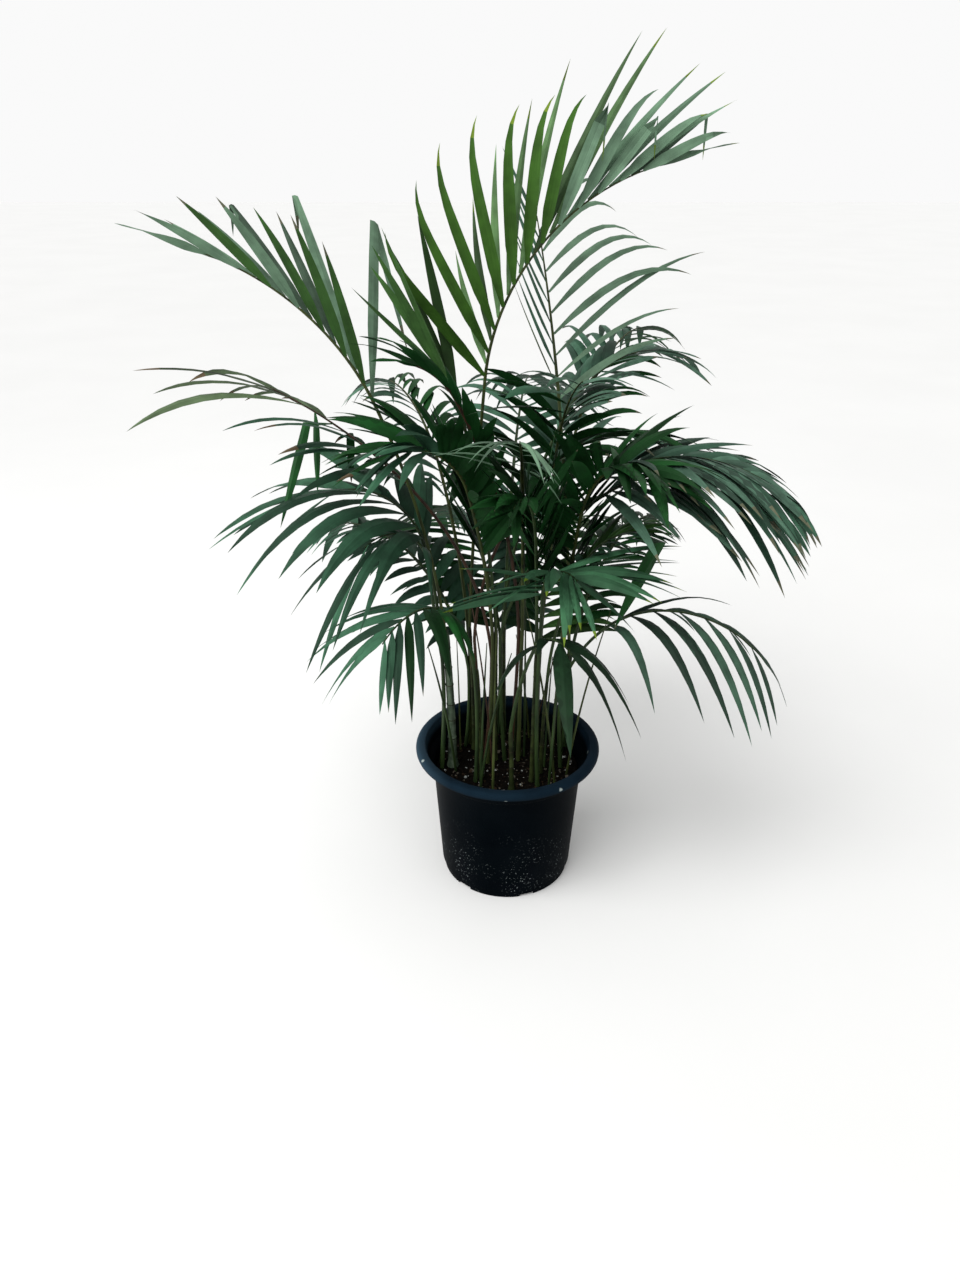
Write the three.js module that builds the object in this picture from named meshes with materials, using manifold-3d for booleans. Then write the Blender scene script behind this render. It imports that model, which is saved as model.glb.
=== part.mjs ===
import * as THREE from 'three';
import { mergeVertices } from 'three/addons/utils/BufferGeometryUtils.js';
import Module from 'manifold-3d';

// A clump-forming areca palm in a moulded plastic nursery pot, in millimetres.
// +Z is up, +X is the right of the front view, and the origin is the centre of the pot's flat underside.

const GAP = 0.3;
const UP = new THREE.Vector3(0, 0, 1);

// Pot: a round tapering wall on a short foot, with a wide collar and a thick rolled rim
const POT_HEIGHT = 240;
const POT_SIDES = 32;
const RIM_RADIUS = 150;
const RIM_BEAD = 7;
const RIM_LIP = 6;
const RIM_INNER_RADIUS = 134;
const RIM_BEVEL = 3;
const COLLAR_RADIUS = 131;
const COLLAR_Z = 211;
const SHOULDER_RADIUS = 122;
const SHOULDER_Z = 203;
const LEDGE_RADIUS = 109.5;
const LEDGE_Z = 15;
const FOOT_RADIUS = 106;
const FOOT_BEVEL = 1;
const WALL = 3;
const FLOOR = 6;
const FLOOR_BEVEL = 3;

// Drain notches through the lower edge of the foot
const NOTCH_COUNT = 6;
const NOTCH_WIDTH = 25;
const NOTCH_HEIGHT = 5;
const NOTCH_DEPTH = 8;
const NOTCH_HEADING = -72;

// Potting soil, level inside the pot
const SOIL_Z = 195;
const SOIL_CHAMFER = 4;

// Canes: a swollen foot, then a slow taper to the tip
const CANE_SIDES = 8;
const CANE_SHARES = [0, 0.07, 0.3, 0.55, 0.8, 1];
const CANE_FLARE = 1.45;

// Fronds: a petiole that carries on as the rachis, with leaflets on both of its flanks
const PETIOLE_STEPS = 6;
const LONG_PETIOLE = 260;
const PETIOLE_GAP = 0.4;
const PETIOLE_RADIUS = 3.4;
const RACHIS_RADIUS = 2.6;
const RACHIS_TIP_RADIUS = 1.2;
const SPINE_CLEARANCE = 6;
const SPINE_CHECKS = [0.45, 0.6, 0.8, 1];

// Leaflets: a ridged blade that is widest near its foot and ends in a point.
// Each section is its share of the leaflet's length and of its full width.
const LEAFLET_WIDTH = 21;
const LEAFLET_NOMINAL = 240;
const LEAFLET_CROWDING = 1.1;
const LEAFLET_THICKNESS = 3;
const LEAFLET_PITCH = 28;
const LEAFLET_PEAK = 0.35;
const LEAFLET_TAPER = 1.7;
const LEAFLET_MIN = 0.28;
const LEAFLET_CLEARANCE = 0.4;
const LEAFLET_SECTIONS = [[0.26, 1.03], [0.66, 0.77]];
const TIP_LENGTH = 0.3;
const TIP_WIDTH = 10;
const TIP_MIDDLE = 0.45;
const TIP_SAG = 0.1;

// Ways round a neighbour that a leaflet tries in turn: lift in degrees and share of its length
const LEAFLET_TRIES = [
  [0, 1], [7, 1], [-7, 1], [14, 1], [-14, 1],
  [0, 0.75], [12, 0.75], [-12, 0.75], [0, 0.5],
];

const POT_LOOK = { color: 0x1d2b36, roughness: 0.45 };
const SOIL_LOOK = { color: 0x2a2019, roughness: 0.95 };
const CANE_LOOK = { color: 0x8f9c78, roughness: 0.7 };
const PETIOLE_LOOK = { color: 0x8a9a4a, roughness: 0.6 };
const LEAFLET_ROUGHNESS = 0.55;
const GREEN = {
  bright: 0x6f9a2c,
  fresh: 0x3f7a2c,
  deep: 0x24512c,
  blue: 0x2f5a4c,
  dull: 0x54683a,
};

// Each cane: its foot on the soil, its height, the heading and degrees of the lean at its tip,
// and its radius at the foot and at the tip
const CANES = [
  { foot: [-90, -4], height: 250, heading: 180, lean: 4, radius: [8, 6] },
  { foot: [-43, -38], height: 200, heading: 190, lean: 4, radius: [5.8, 4.6] },
  { foot: [5, -74], height: 110, heading: 180, lean: 3, radius: [6.6, 5.2] },
  { foot: [38, -50], height: 230, heading: 60, lean: 2, radius: [5.6, 4.4] },
  { foot: [54, -26], height: 170, heading: 20, lean: 4, radius: [5.2, 4.2] },
  { foot: [74, -4], height: 200, heading: 0, lean: 4, radius: [5.4, 4.2] },
  { foot: [92, 38], height: 190, heading: 20, lean: 4, radius: [5.4, 4.2] },
  { foot: [20, 25], height: 260, heading: 60, lean: 2, radius: [6, 4.6] },
  { foot: [-20, 12], height: 240, heading: 90, lean: 2, radius: [6.2, 4.8] },
  { foot: [-55, 45], height: 230, heading: 150, lean: 4, radius: [5.8, 4.6] },
  { foot: [-5, 78], height: 210, heading: 100, lean: 4, radius: [5.4, 4.2] },
  { foot: [50, 68], height: 200, heading: 60, lean: 4, radius: [5.4, 4.2] },
];

// Each frond: its cane, the share of the cane's height where it leaves it, and its heading
// (0 right, 90 away, 180 left). petiole and blade are the lengths along those two parts.
// rise, lean and nod are the tilt from upright at the foot, at the first leaflets and at the tip.
// open is a leaflet's angle to the rachis, vee its lift above the frond's plane, and droop its sag,
// each at the first leaflets and at the tip. roll lifts the right flank and lowers the left one.
const FRONDS = [
  {
    name: 'crest', tint: 'bright', cane: 10, at: 1, heading: 7,
    petiole: 388, blade: 462, rise: 2, lean: 5, nod: 90,
    pairs: 14, leaflet: 265, taper: 2.6, open: [34, 27], vee: [76, 72], roll: 10, droop: [0, 0.06],
  },
  {
    name: 'left_arch', tint: 'deep', cane: 1, at: 1, heading: 185,
    petiole: 361, blade: 356, rise: 6, lean: 23, nod: 80,
    pairs: 12, leaflet: 180, taper: 1.8, open: [28, 22], vee: [55, 50], roll: -25, droop: [0, 0.15],
  },
  {
    name: 'back_blue', tint: 'blue', cane: 7, at: 1, heading: 106,
    petiole: 421, blade: 249, rise: 6, lean: 21, nod: 33,
    pairs: 9, leaflet: 285, taper: 1, open: [58, 35], vee: [20, 20], droop: [0.3, 0.45],
  },
  {
    name: 'right_arch', tint: 'blue', cane: 8, at: 1, heading: -25,
    petiole: 268, blade: 250, rise: 2, lean: 50, nod: 123,
    pairs: 12, leaflet: 215, taper: 1.9, open: [45, 22], vee: [0, -5], droop: [0.3, 0.35],
  },
  {
    name: 'right_broad', tint: 'blue', cane: 9, at: 0.95, heading: -10,
    petiole: 290, blade: 210, rise: 11, lean: 52, nod: 126,
    pairs: 9, leaflet: 195, taper: 1.7, open: [52, 26], vee: [-5, -8], droop: [0.45, 0.4],
  },
  {
    name: 'left_spear', tint: 'bright', cane: 9, at: 1, heading: 165,
    petiole: 365, blade: 160, rise: 3, lean: 21, nod: 37,
    pairs: 6, leaflet: 170, taper: 1, open: [22, 12], vee: [30, 30], droop: [0, 0.05],
  },
  {
    name: 'left_dark', tint: 'deep', cane: 8, at: 0.88, heading: 203,
    petiole: 391, blade: 95, rise: 2, lean: 28, nod: 74,
    pairs: 5, leaflet: 130, open: [45, 26], vee: [20, 30], droop: [0.1, 0.15],
  },
  {
    name: 'right_fan', tint: 'deep', cane: 11, at: 1, heading: 30,
    petiole: 366, blade: 215, rise: 2, lean: 34, nod: 106,
    pairs: 8, leaflet: 180, open: [55, 25], vee: [0, 5], droop: [0.25, 0.3],
  },
  {
    name: 'right_dark', tint: 'deep', cane: 10, at: 0.9, heading: 0,
    petiole: 322, blade: 155, rise: 2, lean: 43, nod: 110,
    pairs: 7, leaflet: 190, open: [48, 22], vee: [5, 5], droop: [0.25, 0.25],
  },
  {
    name: 'left_brown', tint: 'dull', cane: 9, at: 0.8, heading: 178,
    petiole: 295, blade: 255, rise: 4, lean: 42, nod: 56,
    pairs: 9, leaflet: 225, taper: 0.4, open: [60, 22], vee: [0, 5], droop: [0.4, 0.45],
  },
  {
    name: 'front_high', tint: 'deep', cane: 8, at: 0.95, heading: -95,
    petiole: 307, blade: 191, rise: 13, lean: 35, nod: 87,
    pairs: 8, leaflet: 180, open: [52, 28], vee: [-8, -8], roll: 12, droop: [0.5, 0.5],
  },
  {
    name: 'low_right', tint: 'blue', cane: 6, at: 0.75, heading: -25,
    petiole: 137, blade: 262, rise: 14, lean: 44, nod: 136,
    pairs: 9, leaflet: 205, taper: 1.8, open: [60, 30], vee: [-12, -15], droop: [0.5, 0.45],
  },
  {
    name: 'left_fan', tint: 'fresh', cane: 1, at: 0.9, heading: 165,
    petiole: 171, blade: 177, rise: 2, lean: 12, nod: 104,
    pairs: 8, leaflet: 260, taper: 0.8, open: [52, 22], vee: [4, 4], droop: [0.4, 0.45],
  },
  {
    name: 'left_low', tint: 'deep', cane: 1, at: 0.8, heading: 205,
    petiole: 172, blade: 125, rise: 8, lean: 6, nod: 132,
    pairs: 6, leaflet: 220, taper: 1, open: [50, 22], vee: [-5, -10], droop: [0.35, 0.4],
  },
  {
    name: 'low_left', tint: 'deep', cane: 2, at: 0.9, heading: 235,
    petiole: 162, blade: 155, rise: 4, lean: 46, nod: 124,
    pairs: 8, leaflet: 165, taper: 0.9, open: [62, 25], vee: [-5, -8], droop: [0.28, 0.3],
  },
  {
    name: 'front_bright', tint: 'fresh', cane: 4, at: 0.8, heading: -50,
    petiole: 150, blade: 105, rise: 2, lean: 2, nod: 122,
    pairs: 7, leaflet: 190, taper: 0.8, open: [64, 25], vee: [0, 0], droop: [0.35, 0.35],
  },
  {
    name: 'front_low', tint: 'deep', cane: 3, at: 1, heading: -62,
    petiole: 185, blade: 110, rise: 10, lean: 30, nod: 109,
    pairs: 6, leaflet: 185, taper: 0.8, open: [60, 22], vee: [-8, -12], droop: [0.4, 0.4],
  },
  {
    name: 'right_mid', tint: 'fresh', cane: 5, at: 1, heading: -12,
    petiole: 217, blade: 140, rise: 2, lean: 26, nod: 115,
    pairs: 8, leaflet: 175, taper: 1, open: [58, 25], vee: [0, 0], droop: [0.3, 0.35],
  },
  {
    name: 'centre_left', tint: 'deep', cane: 9, at: 0.9, heading: 220,
    petiole: 262, blade: 165, rise: 3, lean: 18, nod: 95,
    pairs: 8, leaflet: 210, taper: 1, open: [56, 25], vee: [5, 5], droop: [0.3, 0.35],
  },
  {
    name: 'centre_front', tint: 'deep', cane: 4, at: 1, heading: -105,
    petiole: 190, blade: 190, rise: 2, lean: 14, nod: 95,
    pairs: 8, leaflet: 190, taper: 1, open: [56, 25], vee: [0, 0], droop: [0.35, 0.4],
  },
  {
    name: 'centre_right', tint: 'deep', cane: 6, at: 1, heading: -60,
    petiole: 250, blade: 200, rise: 2, lean: 14, nod: 100,
    pairs: 8, leaflet: 200, taper: 1, open: [56, 25], vee: [5, 5], droop: [0.3, 0.35],
  },
  {
    name: 'centre_high', tint: 'deep', cane: 12, at: 0.85, heading: -80,
    petiole: 330, blade: 230, rise: 5, lean: 12, nod: 62,
    pairs: 9, leaflet: 210, taper: 1, open: [48, 25], vee: [20, 20], droop: [0.1, 0.2],
  },
  {
    name: 'back_left', tint: 'deep', cane: 10, at: 0.8, heading: 112,
    petiole: 320, blade: 310, rise: 6, lean: 32, nod: 92,
    pairs: 10, leaflet: 230, open: [55, 28], vee: [20, 25], droop: [0.12, 0.18],
  },
  {
    name: 'back_mid', tint: 'blue', cane: 11, at: 0.88, heading: 82,
    petiole: 300, blade: 330, rise: 6, lean: 34, nod: 98,
    pairs: 10, leaflet: 230, open: [55, 28], vee: [20, 22], droop: [0.15, 0.2],
  },
  {
    name: 'back_right', tint: 'deep', cane: 12, at: 1, heading: 60,
    petiole: 330, blade: 300, rise: 4, lean: 32, nod: 96,
    pairs: 10, leaflet: 230, open: [55, 28], vee: [20, 22], droop: [0.15, 0.2],
  },
  {
    name: 'back_low', tint: 'blue', cane: 11, at: 0.7, heading: 112,
    petiole: 180, blade: 250, rise: 8, lean: 52, nod: 126,
    pairs: 9, leaflet: 210, open: [60, 28], vee: [-5, -10], droop: [0.35, 0.4],
  },
  {
    name: 'right_low', tint: 'deep', cane: 7, at: 0.8, heading: 52,
    petiole: 190, blade: 220, rise: 8, lean: 50, nod: 122,
    pairs: 9, leaflet: 190, open: [60, 28], vee: [-5, -10], droop: [0.35, 0.4],
  },
  {
    name: 'back_right_low', tint: 'fresh', cane: 12, at: 0.7, heading: 78,
    petiole: 170, blade: 230, rise: 8, lean: 50, nod: 122,
    pairs: 8, leaflet: 200, open: [60, 28], vee: [-5, -10], droop: [0.35, 0.4],
  },
  {
    name: 'left_back_low', tint: 'deep', cane: 10, at: 0.66, heading: 152,
    petiole: 190, blade: 230, rise: 8, lean: 46, nod: 122,
    pairs: 8, leaflet: 210, open: [60, 28], vee: [-5, -10], droop: [0.35, 0.4],
  },
];

const wasm = await Module();
wasm.setup();

const radians = THREE.MathUtils.degToRad;
const mix = THREE.MathUtils.lerp;

// The level direction at a heading
function compass(heading) {
  return new THREE.Vector3(Math.cos(radians(heading)), Math.sin(radians(heading)), 0);
}

// A shell is a triangle mesh in the making: its points and its faces
function newShell() {
  return { points: [], faces: [] };
}

function addPoint(shell, point) {
  shell.points.push(point.clone());
  return shell.points.length - 1;
}

function addQuad(shell, a, b, c, d) {
  shell.faces.push([a, b, c], [a, c, d]);
}

function shellGeometry(shell) {
  const geometry = new THREE.BufferGeometry().setFromPoints(shell.points);
  geometry.setIndex(shell.faces.flat());
  return geometry;
}

function geometrySolid(geometry) {
  geometry.deleteAttribute('normal');
  geometry.deleteAttribute('uv');
  const merged = mergeVertices(geometry);
  const vertProperties = merged.getAttribute('position').array;
  const triVerts = new Uint32Array(merged.getIndex().array);
  return new wasm.Manifold(new wasm.Mesh({ numProp: 3, vertProperties, triVerts }));
}

function shellSolid(shell) {
  return geometrySolid(shellGeometry(shell));
}

function solidGeometry(solid) {
  const mesh = solid.getMesh();
  const geometry = new THREE.BufferGeometry();
  geometry.setAttribute('position', new THREE.BufferAttribute(mesh.vertProperties, mesh.numProp));
  geometry.setIndex(new THREE.BufferAttribute(mesh.triVerts, 1));
  return geometry;
}

// A closed solid from a profile of [radius, height] pairs that starts and ends on the axis
function turned(profile) {
  const outline = profile.map(([radius, height]) => new THREE.Vector2(radius, height));
  const lathe = new THREE.LatheGeometry(outline, POT_SIDES);
  return geometrySolid(lathe.rotateX(Math.PI / 2));
}

function potSolid() {
  const beadZ = POT_HEIGHT - RIM_BEAD;
  const beadRadius = RIM_RADIUS - RIM_BEAD;
  const bead = [0, 30, 60, 90].map((turn) => [
    beadRadius + RIM_BEAD * Math.cos(radians(turn)),
    beadZ + RIM_BEAD * Math.sin(radians(turn)),
  ]);
  let pot = turned([
    [0, 0],
    [FOOT_RADIUS - FOOT_BEVEL, 0],
    [FOOT_RADIUS, FOOT_BEVEL],
    [FOOT_RADIUS + FOOT_BEVEL, LEDGE_Z - FOOT_BEVEL],
    [LEDGE_RADIUS, LEDGE_Z],
    [SHOULDER_RADIUS, SHOULDER_Z],
    [COLLAR_RADIUS, COLLAR_Z],
    [COLLAR_RADIUS + WALL, beadZ - RIM_LIP],
    [RIM_RADIUS - FOOT_BEVEL, beadZ - RIM_LIP],
    ...bead,
    [RIM_INNER_RADIUS + RIM_BEVEL, POT_HEIGHT],
    [RIM_INNER_RADIUS, POT_HEIGHT - RIM_BEVEL],
    [COLLAR_RADIUS - WALL, COLLAR_Z + WALL],
    [SHOULDER_RADIUS - WALL, SHOULDER_Z + WALL],
    [FOOT_RADIUS - WALL, FLOOR + FLOOR_BEVEL],
    [FOOT_RADIUS - WALL - FLOOR_BEVEL, FLOOR],
    [0, FLOOR],
  ]);
  for (let notch = 0; notch < NOTCH_COUNT; notch += 1) {
    const heading = NOTCH_HEADING + (360 * notch) / NOTCH_COUNT;
    const middle = compass(heading).multiplyScalar(FOOT_RADIUS);
    const cutter = new THREE.BoxGeometry(2 * NOTCH_DEPTH, NOTCH_WIDTH, 2 * NOTCH_HEIGHT);
    cutter.rotateZ(radians(heading)).translate(middle.x, middle.y, 0);
    pot = pot.subtract(geometrySolid(cutter));
  }
  return pot;
}

// The soil keeps a gap from the inner face of the pot's wall
function soilSolid() {
  const footRadius = FOOT_RADIUS - WALL - GAP;
  const footZ = FLOOR + FLOOR_BEVEL;
  const edgeZ = SOIL_Z - SOIL_CHAMFER;
  const slope = (SHOULDER_RADIUS - FOOT_RADIUS) / (SHOULDER_Z + WALL - footZ);
  const edgeRadius = footRadius + slope * (edgeZ - footZ);
  return turned([
    [0, FLOOR + GAP],
    [footRadius - FLOOR_BEVEL, FLOOR + GAP],
    [footRadius, footZ + GAP],
    [edgeRadius, edgeZ],
    [edgeRadius - SOIL_CHAMFER, SOIL_Z],
    [0, SOIL_Z],
  ]);
}

// A station whose corners lie level, for a flat cut
function levelled(station) {
  return { ...station, over: station.side.clone().cross(UP) };
}

// A place on a bend, which leaves its start at the tilt `from` and ends at the tilt `to`
function onBend({ start, heading, length, from, to }, share) {
  const ahead = compass(heading);
  const side = ahead.clone().cross(UP);
  const half = (radians(to - from) * share) / 2;
  const chordTilt = radians(from) + half;
  const chord = length * share * (half === 0 ? 1 : Math.sin(half) / half);
  const tilt = radians(from) + 2 * half;
  const point = start.clone()
    .addScaledVector(ahead, chord * Math.sin(chordTilt))
    .addScaledVector(UP, chord * Math.cos(chordTilt));
  const along = ahead.clone().multiplyScalar(Math.sin(tilt)).addScaledVector(UP, Math.cos(tilt));
  return { point, along, side, over: side.clone().cross(along) };
}

// A limb's corners at each of its stations, with the first corner on the upper side, and its foot's face
function startLimb(shell, stations, sides) {
  const rings = stations.map(({ point, side, over, radius }) => (
    Array.from({ length: sides }, (_, corner) => {
      const turn = (2 * Math.PI * corner) / sides;
      const spoke = over.clone().multiplyScalar(Math.cos(turn)).addScaledVector(side, Math.sin(turn));
      return addPoint(shell, point.clone().addScaledVector(spoke, radius));
    })
  ));
  const [first, ...rest] = rings[0];
  rest.slice(1).forEach((corner, index) => shell.faces.push([first, corner, rest[index]]));
  return rings;
}

function skinLimb(shell, low, high) {
  low.forEach((corner, index) => {
    const next = (index + 1) % low.length;
    addQuad(shell, corner, low[next], high[next], high[index]);
  });
}

function limbShell(stations, sides) {
  const shell = newShell();
  const rings = startLimb(shell, stations, sides);
  for (let level = 1; level < rings.length; level += 1) skinLimb(shell, rings[level - 1], rings[level]);
  const [first, ...rest] = rings.at(-1);
  rest.slice(1).forEach((corner, index) => shell.faces.push([first, rest[index], corner]));
  return shell;
}

function canePlace(cane, share) {
  const start = new THREE.Vector3(...cane.foot, SOIL_Z + GAP);
  const bend = { start, heading: cane.heading, length: cane.height, from: 0, to: cane.lean };
  return { ...onBend(bend, share), radius: mix(...cane.radius, share) };
}

function caneSolid(cane) {
  const stations = CANE_SHARES.map((share) => canePlace(cane, share));
  const foot = levelled(stations.shift());
  const tip = levelled(stations.pop());
  foot.radius *= CANE_FLARE;
  return shellSolid(limbShell([foot, ...stations, tip], CANE_SIDES));
}

// A frond's petiole and blade, as two bends. One at the cane's tip stands on it, others leave its side.
function frondBends(frond) {
  const { heading } = frond;
  const { point, radius } = canePlace(CANES[frond.cane - 1], frond.at);
  const foot = frond.at === 1
    ? point.addScaledVector(UP, GAP)
    : point.addScaledVector(compass(heading), radius + PETIOLE_RADIUS + PETIOLE_GAP);
  const petiole = { start: foot, heading, length: frond.petiole, from: frond.rise, to: frond.lean };
  const start = onBend(petiole, 1).point;
  const blade = { start, heading, length: frond.blade, from: frond.lean, to: frond.nod };
  return { petiole, blade };
}

function petioleStations(frond) {
  const { petiole } = frondBends(frond);
  const stations = Array.from({ length: PETIOLE_STEPS + 1 }, (_, step) => {
    const share = step / PETIOLE_STEPS;
    return { ...onBend(petiole, share), radius: mix(PETIOLE_RADIUS, RACHIS_RADIUS, share) };
  });
  if (frond.at === 1) stations[0] = levelled(stations[0]);
  return stations;
}

// The rachis has a station at each end of every leaflet's slot
function rachisStations(frond) {
  const { blade } = frondBends(frond);
  const slots = 2 * frond.pairs;
  return Array.from({ length: slots + 1 }, (_, slot) => {
    const share = Math.max(slot / slots, GAP / frond.blade);
    return { ...onBend(blade, share), radius: mix(RACHIS_RADIUS, RACHIS_TIP_RADIUS, share) };
  });
}

// The middle line and the width of one leaflet. flank is 1 on the right of the rachis, -1 on the left.
function leafletRule(frond, share, flank, change, scale) {
  const open = radians(mix(...frond.open, share));
  const lift = radians(mix(...frond.vee, share) + flank * (frond.roll ?? 0) + change);
  const taper = frond.taper ?? LEAFLET_TAPER;
  const size = Math.max(LEAFLET_MIN, 1 - taper * (share - LEAFLET_PEAK) ** 2);
  const length = frond.leaflet * size * scale;
  const crowded = LEAFLET_CROWDING * (frond.blade / frond.pairs) * Math.sin(open);
  const width = Math.min(crowded, LEAFLET_WIDTH * Math.sqrt(length / LEAFLET_NOMINAL));
  return { open, lift, flank, droop: mix(...frond.droop, share), length, width };
}

function leafletPlace({ open, lift, flank, droop, length }, foot, { along, side, over }, reach) {
  const out = side.clone().multiplyScalar(flank * Math.cos(lift)).addScaledVector(over, Math.sin(lift));
  const aim = along.clone().multiplyScalar(Math.cos(open)).addScaledVector(out, Math.sin(open));
  const point = foot.clone()
    .addScaledVector(aim, length * reach)
    .addScaledVector(UP, -droop * length * reach ** 2);
  const heading = aim.clone().addScaledVector(UP, -2 * droop * reach).normalize();
  const across = along.clone().addScaledVector(heading, -along.dot(heading)).normalize();
  const ridge = heading.clone().cross(across).multiplyScalar(flank);
  const pitch = radians(LEAFLET_PITCH);
  return {
    point,
    across: across.clone().multiplyScalar(Math.cos(pitch)).addScaledVector(ridge, -Math.sin(pitch)),
    ridge: ridge.multiplyScalar(Math.cos(pitch)).addScaledVector(across, Math.sin(pitch)),
  };
}

// The corners of a leaflet's sections, each as ridge, edge near the petiole, edge near the tip
function leafletForm(rule, foot, station) {
  const sections = LEAFLET_SECTIONS.map(([reach, fullness]) => {
    const { point, across, ridge } = leafletPlace(rule, foot, station, reach);
    const half = (rule.width * fullness) / 2;
    return [
      point.clone().addScaledVector(ridge, LEAFLET_THICKNESS),
      point.clone().addScaledVector(across, -half),
      point.clone().addScaledVector(across, half),
    ];
  });
  return { sections, tip: leafletPlace(rule, foot, station, 1).point };
}

// Grows a leaflet out of a face with the corners ridge, near the petiole and near the tip.
// One on the left flank is the mirror image of one on the right, so its faces run the other way round.
function growLeaflet(shell, face, { sections, tip }, flank) {
  const skin = { ...shell, faces: [] };
  let low = face;
  for (const section of sections) {
    const high = section.map((point) => addPoint(shell, point));
    skinLimb(skin, low, high);
    low = high;
  }
  const end = addPoint(shell, tip);
  low.forEach((corner, index) => skin.faces.push([corner, low[(index + 1) % 3], end]));
  shell.faces.push(...skin.faces.map((corners) => (flank > 0 ? corners : corners.toReversed())));
}

function leafletSolid(corners, form, flank) {
  const shell = newShell();
  const [ridge, near, far] = corners.map((corner) => addPoint(shell, corner));
  shell.faces.push(flank > 0 ? [ridge, far, near] : [ridge, near, far]);
  growLeaflet(shell, [ridge, near, far], form, flank);
  return shellSolid(shell);
}

// The leaflet that ends the rachis, straight on from it
function tipForm(frond, station) {
  const length = frond.leaflet * TIP_LENGTH;
  const middle = station.point.clone().addScaledVector(station.along, length * TIP_MIDDLE);
  const section = [
    middle.clone().addScaledVector(station.over, LEAFLET_THICKNESS),
    middle.clone().addScaledVector(station.side, TIP_WIDTH / 2),
    middle.clone().addScaledVector(station.side, -TIP_WIDTH / 2),
  ];
  const tip = station.point.clone().addScaledVector(station.along, length);
  return { sections: [section], tip: tip.addScaledVector(UP, -length * TIP_SAG) };
}

function skinRachis(shell, [topLow, rightLow, leftLow], [topHigh, rightHigh, leftHigh], leaflet) {
  addQuad(shell, rightLow, leftLow, leftHigh, rightHigh);
  if (leaflet?.flank === 1) {
    shell.faces.push([topLow, rightHigh, topHigh]);
    growLeaflet(shell, [topLow, rightLow, rightHigh], leaflet.form, 1);
  } else {
    addQuad(shell, topLow, rightLow, rightHigh, topHigh);
  }
  if (leaflet?.flank === -1) {
    shell.faces.push([topLow, topHigh, leftHigh]);
    growLeaflet(shell, [topLow, leftLow, leftHigh], leaflet.form, -1);
  } else {
    addQuad(shell, topLow, topHigh, leftHigh, leftLow);
  }
}

// The blade of a frond with the leaflets given for its slots, which take turns on the right and left flank.
// A short petiole is one with its blade, and a long one is a sub-part of its own just below it.
function frondShell(frond, leaflets) {
  const shell = newShell();
  const stalk = hasLongPetiole(frond) ? [] : petioleStations(frond).slice(0, -1);
  const stations = [...stalk, ...rachisStations(frond)];
  const rings = startLimb(shell, stations, 3);
  for (let level = 1; level < rings.length; level += 1) {
    skinRachis(shell, rings[level - 1], rings[level], leaflets.get(level - 1 - stalk.length));
  }
  growLeaflet(shell, rings.at(-1), tipForm(frond, stations.at(-1)), 1);
  return { shell, slotRings: rings.slice(stalk.length) };
}

function hasLongPetiole(frond) {
  return frond.petiole > LONG_PETIOLE;
}

function boxed(solid) {
  const { min, max } = solid.boundingBox();
  return { solid, box: new THREE.Box3(new THREE.Vector3(...min), new THREE.Vector3(...max)) };
}

function isClear(body, placed) {
  const reach = body.box.clone().expandByScalar(LEAFLET_CLEARANCE);
  return placed.every(({ solid, box }) => (
    !reach.intersectsBox(box) || body.solid.minGap(solid, 2 * LEAFLET_CLEARANCE) > LEAFLET_CLEARANCE
  ));
}

// A leaflet's outer part keeps off its own petiole and rachis
function clearsSpine(rule, foot, station, spine) {
  return SPINE_CHECKS.every((reach) => {
    const { point } = leafletPlace(rule, foot, station, reach);
    return spine.slice(1).every((end, index) => {
      const nearest = new THREE.Vector3();
      new THREE.Line3(spine[index], end).closestPointToPoint(point, true, nearest);
      return nearest.distanceTo(point) > SPINE_CLEARANCE;
    });
  });
}

// Finds the first way that one leaflet has room, or nothing where it has none
function placeLeaflet(frond, bare, slot, others) {
  const flank = slot % 2 === 0 ? 1 : -1;
  const share = (slot + 0.5) / (2 * frond.pairs);
  const station = onBend(frondBends(frond).blade, share);
  const [low, high] = bare.slotRings.slice(slot, slot + 2);
  const outer = flank === 1 ? 1 : 2;
  const face = [low[0], low[outer], high[outer]];
  const corners = face.map((corner) => bare.shell.points[corner]);
  const spine = [...petioleStations(frond), ...rachisStations(frond)].map(({ point }) => point);
  for (const [change, scale] of LEAFLET_TRIES) {
    const rule = leafletRule(frond, share, flank, change, scale);
    const form = leafletForm(rule, station.point, station);
    const body = boxed(leafletSolid(corners, form, flank));
    if (clearsSpine(rule, station.point, station, spine) && isClear(body, others)) {
      return { flank, form, body };
    }
  }
  return null;
}

// Petioles and rachises all have their places before the first leaflet looks for its own
function growFronds(standing) {
  const petioles = FRONDS.filter(hasLongPetiole).map((frond) => boxed(petioleSolid(frond)));
  const bare = FRONDS.map((frond) => frondShell(frond, new Map()));
  const spines = bare.map(({ shell }) => boxed(shellSolid(shell)));
  const placed = [...standing, ...petioles];
  return FRONDS.map((frond, index) => {
    const otherSpines = spines.filter((spine) => spine !== spines[index]);
    const leaflets = new Map();
    for (let slot = 0; slot < 2 * frond.pairs; slot += 1) {
      const leaflet = placeLeaflet(frond, bare[index], slot, [...placed, ...otherSpines]);
      if (leaflet === null) continue;
      leaflets.set(slot, leaflet);
      placed.push(leaflet.body);
    }
    return shellSolid(frondShell(frond, leaflets).shell);
  });
}

function petioleSolid(frond) {
  return shellSolid(limbShell(petioleStations(frond), 3));
}

const palm = new THREE.Group();

function addSubPart(name, solid, look) {
  const material = new THREE.MeshStandardMaterial({ ...look, metalness: 0 });
  const mesh = new THREE.Mesh(solidGeometry(solid), material);
  mesh.name = name;
  palm.add(mesh);
}

const pot = potSolid();
const soil = soilSolid();
const canes = CANES.map(caneSolid);
const fronds = growFronds([pot, soil, ...canes].map(boxed));

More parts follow.
